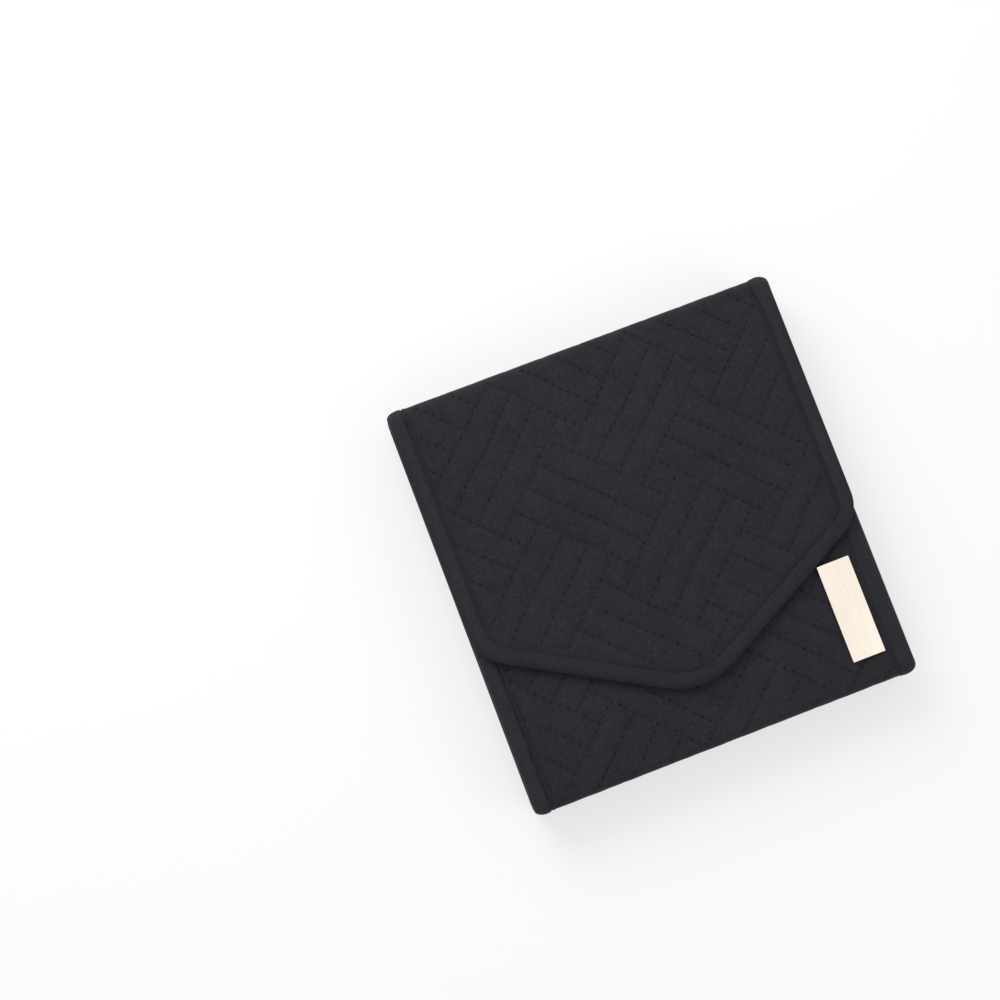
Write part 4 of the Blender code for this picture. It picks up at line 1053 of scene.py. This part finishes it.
# The last value sets how dark the painted shade along the seams goes.
pocket_cloth = napped_cloth("pocket_cloth", (0.043, 0.042, 0.049), nap=0.7, seams=0.84)
plush = napped_cloth("plush", (0.024, 0.023, 0.027), nap=1.4, sheen=0.35)
rose_gold = brushed_metal("rose_gold", (0.87, 0.69, 0.59), 0.26)
plate_gold = brushed_metal("plate_gold", (0.95, 0.845, 0.74), 0.24, way=(1500, 60, 1500))
zip_weave = woven("zip_weave", (0.026, 0.025, 0.029), 0.55 * MM)
elastic_weave = woven("elastic_weave", (0.028, 0.027, 0.033), 0.8 * MM, relief=0.2)
panel_skin = grained("panel_skin", (0.0215, 0.0205, 0.0255))
board_fibre = grained("board_fibre", (0.2, 0.19, 0.18))
magnet_nickel = brushed_metal("magnet_nickel", (0.55, 0.55, 0.57), 0.35)
for name, finish in {
    "board": board_fibre,
    "magnet": magnet_nickel,
    "plate_backing": rose_gold,
    "blank_plate": plate_gold,
}.items():
    for obj in bpy.data.objects:
        if obj.type == "MESH" and name in obj.name:
            for place in obj.material_slots:
                place.material = finish
print("finished the hidden boards, magnets and plate backing")

# %% [markdown]
# ## Shapes for small metal pieces
#
# A small metal piece is a skin through a few rings of points: a bevelled bar, a plate with a
# window, a turned cap. One function skins them all, which keeps every edge rounded as it would be
# on a die-cast piece. A plain cube with a bevel would do for the stops, but not for the slider.

# %% Skins through rings


def skinned(rings, filled=True):
    """A closed skin through rings that have the same number of points."""
    rings = np.asarray(rings)
    count = rings.shape[1]
    mesh, u, v = grid(count, len(rings) - 1)
    around = np.rint(u * count).astype(int) % count
    ring = np.rint(v * (len(rings) - 1)).astype(int)
    moved(mesh, *rings[ring, around].T)
    bm = bmesh.new()
    bm.from_mesh(mesh)
    bmesh.ops.remove_doubles(bm, verts=bm.verts, dist=0.001 * MM)
    if filled:
        bmesh.ops.holes_fill(bm, edges=bm.edges, sides=0)
    bm.to_mesh(mesh)
    bm.free()
    return mended(mesh)


def outline(width, length, radius, count=5):
    """A rounded rectangle about the middle, as points in turn."""
    points = []
    for quarter, (sx, sy) in enumerate(((1, 1), (-1, 1), (-1, -1), (1, -1))):
        angle = (quarter + np.linspace(0, 1, count + 1)) * math.pi / 2
        corner = np.array([sx * (width / 2 - radius), sy * (length / 2 - radius)])
        points.append(corner + radius * np.column_stack([np.cos(angle), np.sin(angle)]))
    return np.concatenate(points)


def raised(points, z):
    """An outline lifted to a height."""
    return np.column_stack([points, np.full(len(points), z)])


BEVEL_TURNS = (0, 30, 60, 90)


def slab_rings(width, length, radius, low, high, bevel):
    """Rings of a flat plate with rounded corners and edges, from its middle round and back."""
    rings = []
    for degrees in BEVEL_TURNS:
        turn = math.radians(degrees)
        back, rise = bevel * (1 - math.sin(turn)), bevel * (1 - math.cos(turn))
        ring = outline(width - 2 * back, length - 2 * back, max(radius - back, 0.02 * MM))
        rings.append((ring, low + rise))
    rings += [(ring, low + high - z) for ring, z in reversed(rings)]
    return [raised(ring, z) for ring, z in rings]


def turned(profile, place):
    """A turned piece from radii and heights in mm."""
    angle = np.arange(32) * math.tau / 32
    round_ring = np.column_stack([np.cos(angle), np.sin(angle)])
    rings = [raised(place[:2] + round_ring * radius * MM, height * MM) for radius, height in profile]
    return skinned(rings)


def crisp(mesh, degrees=35):
    """Smooth shading that stays sharp at clear edges."""
    mesh.set_sharp_from_angle(angle=math.radians(degrees))
    return mesh


def metal_piece(mesh, name, finish, body, *stands_for):
    """A rigid metal piece on its body."""
    made = piece(mesh, name, finish)
    crisp(mesh)
    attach(made, body)
    if stands_for:
        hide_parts(*stands_for)
    return made


# %% The bare plate
plate_rings = slab_rings(15.2 * MM, 44.8 * MM, 0.45 * MM, 28.1 * MM, 28.9 * MM, 0.3 * MM)
plate_middle = np.array([71.2, -58.25, 0]) * MM
plate = metal_piece(
    skinned([ring + plate_middle for ring in plate_rings]), "plate", plate_gold, "front_panel", "blank_plate"
)
print("plate of", len(plate.data.polygons), "faces")

# %% [markdown]
# ## The zip pocket
#
# The pocket is one cloth panel sewn flat round its edge, puffed up over what it holds, with a long
# window for the zip near its top. It starts as a flat grid whose lines follow the window. The
# grid is raised by a soft step from the sewn edge inwards, with a row of stitches pressed into the
# edge and another round the window.

# %% Make the pocket panel
POCKET_HALF = 75 * MM
POCKET_LOW, POCKET_HIGH = -78 * MM, 20 * MM
ZIP_Y = 7 * MM
WINDOW_HALF = 65 * MM
WINDOW_REACH = 5.2 * MM
BACK_FACE = LINING_FACE - 0.1 * MM
STITCH = 2.6 * MM


def rounded_corners(x, y, half_width, half_length, radius):
    """Draws a rectangle's corners round, and gives each point's distance inside the edge."""
    past = np.array([np.abs(x) - half_width + radius, np.abs(y) - half_length + radius])
    largest = past.max(axis=0)
    corner = past.min(axis=0) > 0
    shrink = np.where(corner, largest / np.maximum(np.hypot(*past), 1e-9), 1)
    x = np.where(corner, np.sign(x) * (half_width - radius + past[0] * shrink), x)
    y = np.where(corner, np.sign(y) * (half_length - radius + past[1] * shrink), y)
    return x, y, radius - largest


def stitched(away, along):
    """Thread pits of a row of stitches, from a point's distance to the row and place along it."""
    pit = np.abs(np.mod(along / STITCH + 0.5, 1) - 0.5) * STITCH
    return np.exp(-((away / (0.5 * MM)) ** 2) - (pit / (0.55 * MM)) ** 2)


def kept(mesh, keep):
    """Leaves only the faces whose middle passes a test."""
    bm = bmesh.new()
    bm.from_mesh(mesh)
    out = [face for face in bm.faces if not keep(face.calc_center_median())]
    bmesh.ops.delete(bm, geom=out, context="FACES")
    bm.to_mesh(mesh)
    bm.free()


def thickened(obj, thickness):
    """Gives a sheet its thickness, downwards from its face."""
    solid = obj.modifiers.new("thickness", "SOLIDIFY")
    solid.thickness = thickness
    solid.offset = -1
    solid.use_even_offset = False


step = 0.9 * MM if FINE else 3 * MM
mesh, x, y = lattice(
    runs([-POCKET_HALF, -WINDOW_HALF, WINDOW_HALF, POCKET_HALF], step),
    runs([POCKET_LOW, ZIP_Y - WINDOW_REACH, ZIP_Y + WINDOW_REACH, POCKET_HIGH], step),
)
middle = (POCKET_LOW + POCKET_HIGH) / 2
moved(mesh, x, y, np.zeros(len(x)))
kept(mesh, lambda at: abs(at.x) > WINDOW_HALF or abs(at.y - ZIP_Y) > WINDOW_REACH)
x, y, _ = places(mesh).T
flat_x, flat_y, inside = rounded_corners(
    x, y - middle, POCKET_HALF, (POCKET_HIGH - POCKET_LOW) / 2, 7 * MM
)
flat_y = flat_y + middle
rise = np.clip((inside - 2.2 * MM) / (8 * MM), 0, 1)
puff = np.sqrt(1 - (1 - rise) ** 2)
to_window = np.hypot(
    np.maximum(np.abs(x) - WINDOW_HALF, 0), np.maximum(np.abs(y - ZIP_Y) - WINDOW_REACH, 0)
)
walk_round = np.where(np.abs(x) > np.abs(y - middle) * POCKET_HALF / (49 * MM), y, x)
height = BACK_FACE + 0.55 * MM * eased(inside / (0.9 * MM)) + 3.9 * MM * puff
height += 0.30 * MM * ripple(x, y, 34 * MM, 31) * puff
height += 0.06 * MM * ripple(x, y, 7 * MM, 32)
edge_row = stitched(inside - 2.0 * MM, walk_round)
window_row = stitched(to_window - 1.9 * MM, np.where(np.abs(y - ZIP_Y) > WINDOW_REACH, x, y))
near_row = np.exp(-(((to_window - 1.9 * MM) / (0.9 * MM)) ** 2))
height += 0.25 * MM * np.exp(-((to_window / (0.9 * MM)) ** 2)) - 0.22 * MM * near_row
height -= 0.25 * MM * (edge_row + window_row)
height = np.minimum(height, 9.0 * MM)
moved(mesh, flat_x, flat_y, height)
laid_out(mesh, x, y)
# These marks paint shade along the sewn rows and in their thread pits.
marked(mesh, "seam", np.exp(-(((inside - 2.0 * MM) / (0.7 * MM)) ** 2)) + near_row * 0.8)
marked(mesh, "needle", 0.75 * np.clip(edge_row + window_row, 0, 1))
bm = bmesh.new()
bm.from_mesh(mesh)
lip = [
    side
    for side in bm.edges
    if side.is_boundary and all(abs(v.co.y - ZIP_Y) < 6 * MM and abs(v.co.x) < 66 * MM for v in side.verts)
]
made = bmesh.ops.extrude_edge_only(bm, edges=lip)["geom"]
for vert in made:
    if isinstance(vert, bmesh.types.BMVert):
        vert.co.z -= 0.8 * MM
        vert.co.y += math.copysign(0.5 * MM, vert.co.y - ZIP_Y)
bm.to_mesh(mesh)
bm.free()
pocket = piece(mesh, "zip_pocket", pocket_cloth)
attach(pocket, "back_panel")
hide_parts("pocket_panel")
print("zip pocket", len(mesh.polygons), "faces")

# %% [markdown]
# ## The zip
#
# Two woven tapes lie under the window, each with a corded edge that the metal teeth are clamped
# on. The zip is drawn open, with the slider at its left stop. Each tooth is a small block, narrow at
# its tip, with its edges broken by a bevel: a finer shape would be lost at this size.

# %% Tapes, teeth and end stops
TAPE_TOP = 7.7 * MM
TAPE_HALF = 69 * MM
TOOTH_STEP = 1.5 * MM
TOOTH_FIRST = -57 * MM
TOOTH_COUNT = 77
for side, name in ((-1, "lower"), (1, "upper")):
    mesh, x, w = lattice(
        runs([-TAPE_HALF, TAPE_HALF], 1.5 * MM if FINE else 6 * MM),
        runs([1.15 * MM, 9.1 * MM], 0.45 * MM),
    )
    cord = np.exp(-(((w - 1.75 * MM) / (0.5 * MM)) ** 2))
    z = TAPE_TOP - 0.10 * MM + 0.35 * MM * cord + 0.04 * MM * ripple(x, w, 20 * MM, 41)
    moved(mesh, x, ZIP_Y + side * w, z)
    laid_out(mesh, x, w)
    if side < 0:
        mesh.flip_normals()
    tape = piece(mesh, "zip_tape_" + name + "_woven", zip_weave)
    thickened(tape, 0.5 * MM)
    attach(tape, "back_panel")
    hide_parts("zip_tape_" + name)

    bm = bmesh.new()
    for index in range(TOOTH_COUNT - (side > 0)):
        at = Vector((TOOTH_FIRST + TOOTH_STEP * (index + 0.5 * (side > 0)), ZIP_Y + side * 2.1 * MM, 8.6 * MM))
        size = Matrix.Diagonal((0.82 * MM, 2.3 * MM, 1.35 * MM, 1))
        bmesh.ops.create_cube(bm, size=1, matrix=Matrix.Translation(at) @ size)
    for vert in bm.verts:
        if abs(vert.co.y - ZIP_Y) < 1.5 * MM:
            tooth = round((vert.co.x - TOOTH_FIRST) / TOOTH_STEP - 0.5 * (side > 0))
            centre = TOOTH_FIRST + TOOTH_STEP * (tooth + 0.5 * (side > 0))
            vert.co.x = centre + (vert.co.x - centre) * 0.72
            vert.co.z = 8.65 * MM + (vert.co.z - 8.65 * MM) * 0.8
    bmesh.ops.bevel(
        bm, geom=bm.edges[:], offset=0.16 * MM, segments=1, profile=0.5, affect="EDGES", material=-1
    )
    mesh = bpy.data.meshes.new("teeth")
    bm.to_mesh(mesh)
    bm.free()
    row = metal_piece(mesh, "teeth_" + name, rose_gold, "back_panel", "zip_teeth_" + name)
    print(row.name, len(mesh.polygons), "faces")

for side, name in ((-1, "left"), (1, "right")):
    middle_of_stop = np.array([side * 61.4 * MM, ZIP_Y, 0])
    rings = slab_rings(2.2 * MM, 6.8 * MM, 0.7 * MM, 8.0 * MM, 10.0 * MM, 0.45 * MM)
    stop_mesh = skinned([ring + middle_of_stop for ring in rings])
    metal_piece(stop_mesh, "end_stop_" + name, rose_gold, "back_panel", "zip_stop_" + name)

# %% [markdown]
# ## Slider and pull
#
# The slider is two shield-shaped plates joined by a neck, with side walls that reach down beside the
# teeth at its wide end and pass over them at its narrow one, and an arched bridge on top. The pull
# hangs from the bridge by its window and swings over it. Both are skins through rings, so their
# edges catch the light like die-cast parts.

# %% Slider
SLIDER_X = -55.75 * MM


def shield(ring):
    """Narrows a slider plate's outline towards its closed end."""
    ring = np.array(ring)
    ring[:, 1] *= np.interp(ring[:, 0], [-4.3 * MM, -1 * MM, 1.5 * MM, 4.3 * MM], [0.66, 0.8, 1.0, 0.94])
    return ring + np.array([SLIDER_X, ZIP_Y, 0])


def joined(meshes, name):
    """Several closed skins as one mesh."""
    bm = bmesh.new()
    for mesh in meshes:
        bm.from_mesh(mesh)
    whole = bpy.data.meshes.new(name)
    bm.to_mesh(whole)
    bm.free()
    for mesh in meshes:
        bpy.data.meshes.remove(mesh)
    return whole


upper_plate = skinned(
    [shield(ring) for ring in slab_rings(8.5 * MM, 8.8 * MM, 2.4 * MM, 9.6 * MM, 10.75 * MM, 0.4 * MM)]
)
lower_plate = skinned(
    [shield(ring) for ring in slab_rings(8.3 * MM, 8.4 * MM, 2.4 * MM, 5.7 * MM, 6.75 * MM, 0.35 * MM)]
)
neck_rings = slab_rings(2.6 * MM, 1.4 * MM, 0.6 * MM, 6.5 * MM, 9.9 * MM, 0.1 * MM)
neck = skinned([ring + np.array([SLIDER_X + 1.6 * MM, ZIP_Y, 0]) for ring in neck_rings])
WALL_STATIONS = ((-3.4, 2.75, 9.4), (-1.0, 3.25, 9.4), (0.6, 3.9, 9.4), (1.4, 4.0, 8.5), (3.2, 4.0, 8.5))
walls = []
for side in (-1, 1):
    rings = []
    for x, reach, low in WALL_STATIONS:
        section = outline(0.7 * MM, (10.0 - low) * MM, 0.25 * MM, 2)
        rings.append(
            np.column_stack(
                [
                    np.full(len(section), SLIDER_X + x * MM),
                    ZIP_Y + side * (reach * MM - 0.2 * MM) + section[:, 0],
                    (10.0 + low) / 2 * MM + section[:, 1],
                ]
            )
        )
    walls.append(skinned(rings))
arch = []
for degrees in range(-12, 193, 12):
    turn = math.radians(degrees)
    section = outline(0.8 * MM, 1.2 * MM, 0.25 * MM, 2)
    out_along = Vector((math.cos(turn), 0, math.sin(turn)))
    centre = Vector((SLIDER_X + 2.4 * MM * math.cos(turn), ZIP_Y, 10.7 * MM + 2.05 * MM * math.sin(turn)))
    arch.append([centre + out_along * a + Vector((0, b, 0)) for a, b in section])
bridge = skinned(np.array(arch))
slider_mesh = joined([upper_plate, lower_plate, neck, *walls, bridge], "slider")
metal_piece(slider_mesh, "slider", rose_gold, "zip_slider", "zip_slider")
print("slider", len(slider_mesh.polygons), "faces")

# %% Pull


def tapered(ring, z, middle_x):
    """A pull's ring, slimmer at the end that hangs on the bridge."""
    ring = np.array(ring)
    ring[:, 1] *= np.interp(ring[:, 0], [-5.6 * MM, -2 * MM, 5.6 * MM], [0.80, 0.84, 1.0])
    return raised(ring + np.array([middle_x, ZIP_Y]), z * MM)


PULL_MIDDLE = -50.6 * MM
HOLE_SHIFT = -2.9 * MM
outer_sizes = (
    (10.7, 4.7, 1.45, 12.05), (11.1, 5.1, 1.6, 11.95), (11.2, 5.2, 1.6, 11.8),
    (11.2, 5.2, 1.6, 11.4), (11.1, 5.1, 1.6, 11.25), (10.7, 4.7, 1.45, 11.15),
)
inner_sizes = (
    (4.1, 2.6, 1.0, 11.15), (3.7, 2.3, 0.9, 11.25), (3.6, 2.2, 0.9, 11.4),
    (3.6, 2.2, 0.9, 11.8), (3.7, 2.3, 0.9, 11.95), (4.1, 2.6, 1.0, 12.05),
)
rings = [tapered(outline(a * MM, b * MM, r * MM), z, PULL_MIDDLE) for a, b, r, z in outer_sizes]
rings += [raised(outline(a * MM, b * MM, r * MM) + np.array([PULL_MIDDLE + HOLE_SHIFT, ZIP_Y]), z * MM)
          for a, b, r, z in inner_sizes]
pull_mesh = skinned(rings + rings[:1], filled=False)
grip_rings = slab_rings(4.4 * MM, 2.6 * MM, 0.9 * MM, 11.9 * MM, 12.2 * MM, 0.14 * MM)
grip = skinned([ring + np.array([PULL_MIDDLE + 2.4 * MM, ZIP_Y, 0]) for ring in grip_rings])
pull_mesh = joined([pull_mesh, grip], "pull")
pull = metal_piece(pull_mesh, "pull", rose_gold, "zip_pull", "zip_pull")
print("pull", len(pull_mesh.polygons), "faces")

# %% [markdown]
# ## The chain pocket
#
# The hanging chains of the necklaces drop into a shallow pocket. Its cloth is cut wider than the
# pocket and gathered along an elastic hem, so it stands in small pleats that die out towards the
# seam at its foot. The pleats are waves of uneven width, drawn by a formula and not simulated, so
# they come out the same each time.

# %% Gather the chain pocket
CHAIN_HALF = 62 * MM
CHAIN_LOW, CHAIN_TOP = 25 * MM, 52 * MM


def pleats(x, seed, pitch):
    """Uneven pleats along a gathered edge, from -1 to 1."""
    random = np.random.default_rng(seed)
    stops = np.arange(-CHAIN_HALF * 1.1, CHAIN_HALF * 1.1, pitch)
    shifted = stops + random.uniform(-0.3, 0.3, len(stops)) * pitch
    return np.sin(math.tau * np.interp(x, shifted, np.arange(len(stops))))


mesh, x, v = lattice(
    runs([-CHAIN_HALF, CHAIN_HALF], 0.45 * MM if FINE else 2 * MM), runs([0.0, 1.0], 0.03 if FINE else 0.1)
)
from_side = CHAIN_HALF - np.abs(x)
side_rise = np.sqrt(1 - (1 - np.clip(from_side / (9 * MM), 0, 1)) ** 2)
foot_rise = np.sqrt(1 - (1 - np.clip(v / 0.42, 0, 1)) ** 2)
gather = eased((v - 0.1) / 0.9)
height = BACK_FACE + 5.9 * MM * side_rise * foot_rise
height += (0.12 + 0.50 * gather) * MM * pleats(x, 51, 3.9 * MM) * side_rise * foot_rise
height += 0.22 * MM * pleats(x + 3 * MM * (1 - v), 52, 6.1 * MM) * side_rise * foot_rise
height += 0.5 * MM * side_rise * eased((v - 0.25) / 0.75)
y = CHAIN_LOW + (CHAIN_TOP - 2.0 * MM - CHAIN_LOW) * v
y += 0.35 * MM * ripple(x, v * MM, 13 * MM, 53) * v * (1 - v)
moved(mesh, x, y, height)
laid_out(mesh, x * 1.13, v * 33 * MM)
foot_row = stitched((v - 0.05) * 27 * MM, x)
# These marks paint shade along the seam at the foot and in its thread pits.
marked(mesh, "seam", np.exp(-(((v - 0.05) * 27 / 0.8) ** 2)))
marked(mesh, "needle", 0.7 * foot_row)
chain_pocket = piece(mesh, "chain_pocket_cloth", pocket_cloth)
thickened(chain_pocket, 0.45 * MM)
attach(chain_pocket, "back_panel")
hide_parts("chain_pocket")

hem_rings = []
hem_x = runs([-CHAIN_HALF + 1.5 * MM, CHAIN_HALF - 1.5 * MM], 0.5 * MM if FINE else 2 * MM)
hem_wave = pleats(hem_x, 51, 3.9 * MM)
for x_at, wave in zip(hem_x, hem_wave):
    from_side = CHAIN_HALF - abs(x_at)
    rise = math.sqrt(1 - (1 - min(max(from_side / (9 * MM), 0), 1)) ** 2)
    ring = outline(4.3 * MM, (1.25 + 0.25 * wave) * MM, 0.5 * MM, 3)
    centre_z = BACK_FACE + 0.9 * MM + 6.0 * MM * rise + 0.18 * MM * wave
    ring_y = CHAIN_TOP - 2.1 * MM + ring[:, 0] * (1 + 0.04 * wave)
    hem_rings.append(np.column_stack([np.full(len(ring), x_at), ring_y, centre_z + ring[:, 1]]))
hem_mesh = skinned(hem_rings)
hem_points = places(hem_mesh)
laid_out(hem_mesh, hem_points[:, 0] * 1.3, hem_points[:, 1] + hem_points[:, 2])
chain_hem = piece(hem_mesh, "chain_pocket_elastic", elastic_weave)
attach(chain_hem, "back_panel")
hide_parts("chain_pocket_hem")
print("chain pocket", len(mesh.polygons), "faces, elastic", len(hem_mesh.polygons), "faces")

# %% [markdown]
# ## Snap tabs
#
# Three straps of doubled cloth, sewn to the lining at their roots, each close with a snap. The real
# strap bends near its root when it is lifted; here it stays where it lies closed. The snap's cap rides
# on the tab and its stud stays on the panel. Both are turned shapes.

# %% Straps, caps and studs
TAB_END, TAB_ROOT = 60.5 * MM, 81.5 * MM
TAB_HALF = 5.5 * MM
SNAP_Y = 66 * MM
CAP_PROFILE = [
    (0, 7.52), (1.4, 7.48), (2.5, 7.32), (3.05, 7.12), (3.3, 7.1), (3.5, 7.28), (3.8, 7.36), (4.2, 7.22),
    (4.5, 6.92), (4.6, 6.6), (4.5, 6.3), (4.2, 6.14), (3.4, 6.1), (0, 6.1),
]
SOCKET_PROFILE = [
    (1.65, 5.12), (3.2, 5.12), (3.45, 5.06), (3.5, 4.97), (3.35, 4.9), (2.6, 4.88),
    (1.9, 4.94), (1.65, 5.02), (1.65, 5.12),
]
STUD_PROFILE = [
    (0, 5.66), (0.8, 5.62), (1.3, 5.42), (1.48, 5.2), (1.4, 4.98), (1.3, 4.86), (1.5, 4.8),
    (2.9, 4.78), (3.3, 4.66), (3.4, 4.45), (3.3, 4.22), (3.2, 4.0), (0, 4.0),
]
for index, tab_x in enumerate((-45 * MM, 0.0, 45 * MM), 1):
    step = 0.4 * MM if FINE else 1.4 * MM
    mesh, x, y = lattice(runs([-TAB_HALF, TAB_HALF], step), runs([TAB_END, TAB_ROOT], step))
    half = (TAB_ROOT - TAB_END) / 2
    centre = (TAB_END + TAB_ROOT) / 2
    round_x, round_y, inside = rounded_corners(x, y - centre, TAB_HALF, half, 4 * MM)
    free = y < centre
    x, y = np.where(free, round_x, x), np.where(free, round_y + centre, y)
    inside = np.where(free, inside, TAB_HALF - np.abs(x))
    height = 6.05 * MM - 1.2 * MM * eased((y - 77 * MM) / (4.2 * MM))
    height -= 0.32 * MM * (1 - eased(inside / (0.9 * MM)))
    seam = np.exp(-(((inside - 1.5 * MM) / (0.45 * MM)) ** 2))
    row = stitched(inside - 1.5 * MM, np.where(free & (np.abs(x) < 3 * MM), x, y))
    root_row = stitched(y - 79.6 * MM, x)
    height += 0.05 * MM * ripple(x + tab_x, y, 6 * MM, 61) - 0.10 * MM * seam - 0.12 * MM * (row + root_row)
    moved(mesh, x + tab_x, y, height)
    laid_out(mesh, x, y)
    # These marks paint shade along the strap's seam and in its thread pits.
    marked(mesh, "seam", seam)
    marked(mesh, "needle", 0.7 * np.clip(row + root_row, 0, 1))
    strap = piece(mesh, f"tab_strap_{index}", pocket_cloth)
    thickened(strap, 0.95 * MM)
    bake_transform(strap)
    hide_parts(f"tab_{index}")
    at = np.array([tab_x, SNAP_Y])
    snap = joined([turned(CAP_PROFILE, at), turned(SOCKET_PROFILE, at)], "snap")
    metal_piece(snap, f"snap_top_{index}", rose_gold, f"tab_{index}", f"snap_cap_{index}")
    metal_piece(turned(STUD_PROFILE, at), f"snap_base_{index}", rose_gold, "back_panel", f"snap_stud_{index}")
print("three snap tabs")

# %% [markdown]
# ## The ring pad
#
# Five foam rolls in a short plush grip the rings between them. Each roll is a full pill shape set
# close to the next on a covered base. They hang from the front panel's inside and turn out with it.

# %% Roll the ring pad
ROLL_STEP = 11.2 * MM
ROLL_RADIUS = 5.5 * MM
ROLL_LOW = 14.9 * MM
PAD_HALF = 65 * MM
PAD_Y = -50 * MM
ROLL_END = 8 * MM
rolls = []
for index in range(5):
    roll_y = PAD_Y + (index - 2) * ROLL_STEP
    around = np.radians(np.arange(0, 181, 10 if FINE else 30))
    below = np.column_stack([-np.cos(around), -np.sin(around)]) * ROLL_RADIUS
    section = np.concatenate([[[-5.0 * MM, 1.1 * MM]], below, [[5.0 * MM, 1.1 * MM], [0, 1.1 * MM]]])
    rings = []
    ends = PAD_HALF - ROLL_END * (1 - np.sin(np.radians(np.arange(0, 91, 10))))
    roll_x = np.concatenate([-ends[::-1], runs([-ends[0], ends[0]], 2 * MM if FINE else 8 * MM)[1:-1], ends])
    for x_at in roll_x:
        past = max(abs(x_at) - PAD_HALF + ROLL_END, 0) / ROLL_END
        size = math.sqrt(max(1 - past**2, 0.0004))
        wave = 0.1 * MM * ripple(np.array([x_at]), np.array([roll_y]), 17 * MM, 71)[0]
        ring = section * (size + 0.012 * math.sin(x_at / MM * 0.21 + index))
        ring_z = ROLL_LOW + ROLL_RADIUS + 0.15 * MM + wave + ring[:, 1]
        rings.append(np.column_stack([np.full(len(ring), x_at), roll_y + ring[:, 0], ring_z]))
    rolls.append(skinned(rings))
roll_mesh = joined(rolls, "rolls")
pad_rolls = piece(roll_mesh, "ring_rolls", plush)
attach(pad_rolls, "front_panel")
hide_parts("ring_pad")
base_rings = slab_rings(130 * MM, 56 * MM, 4 * MM, 21.2 * MM, 23.8 * MM, 0.9 * MM)
pad_base = piece(
    skinned([ring + np.array([0, PAD_Y, 0]) for ring in base_rings]), "ring_pad_base", plush
)
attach(pad_base, "front_panel")
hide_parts("ring_pad")
print("ring pad", len(roll_mesh.polygons), "faces")

# %% [markdown]
# ## The earring panel
#
# A sheet of leatherette, sewn to the flap's lining, has pairs of punched holes for stud earrings.
# The grid is cut through where each hole goes, and the edge of each cut is drawn round. Punching
# the holes with a boolean would work as well, but would leave long thin faces.

# %% Punch the earring panel
EARRING_HALF = 68 * MM
EARRING_LOW, EARRING_HIGH = 15 * MM, 65 * MM
EARRING_TOP = 28.15 * MM
HOLE = 0.9 * MM
PATCH = 1.8 * MM
hole_x = [pair * 25 * MM + side * 4 * MM for pair in range(-2, 3) for side in (-1, 1)]
hole_y = [26 * MM, 40 * MM, 54 * MM]


def past_holes(centres, low, high):
    """Grid stops that give each hole a patch of four by four faces."""
    stops = [low] + [at + part * PATCH / 2 for at in centres for part in (-2, -1, 0, 1, 2)] + [high]
    return runs(stops, 3.0 * MM)


mesh, x, y = lattice(
    past_holes(hole_x, -EARRING_HALF, EARRING_HALF), past_holes(hole_y, EARRING_LOW, EARRING_HIGH)
)
middle = (EARRING_LOW + EARRING_HIGH) / 2
flat_x, flat_y, inside = rounded_corners(x, y - middle, EARRING_HALF, (EARRING_HIGH - EARRING_LOW) / 2, 4 * MM)
moved(mesh, flat_x, flat_y + middle, np.full(len(x), EARRING_TOP))
bm = bmesh.new()
bm.from_mesh(mesh)
holes = [Vector((a, b, EARRING_TOP)) for a in hole_x for b in hole_y]
for centre in holes:
    near = [
        vert
        for vert in bm.verts
        if max(abs(vert.co.x - centre.x), abs(vert.co.y - centre.y)) < 0.6 * PATCH
    ]
    bmesh.ops.delete(bm, geom=near, context="VERTS")
for centre in holes:
    for vert in bm.verts:
        spoke = vert.co - centre
        if max(abs(spoke.x), abs(spoke.y)) < 1.02 * PATCH:
            vert.co = centre + spoke.normalized() * HOLE
bmesh.ops.reverse_faces(bm, faces=bm.faces)
bm.to_mesh(mesh)
bm.free()
points = places(mesh)
laid_out(mesh, points[:, 0], points[:, 1])
earring_panel = piece(mesh, "earring_sheet", panel_skin)
thickened(earring_panel, 0.8 * MM)
mesh.shade_flat()
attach(earring_panel, "flap")
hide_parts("earring_panel")
print("earring panel", len(mesh.polygons), "faces")

# %% Finish
bpy.context.view_layer.update()
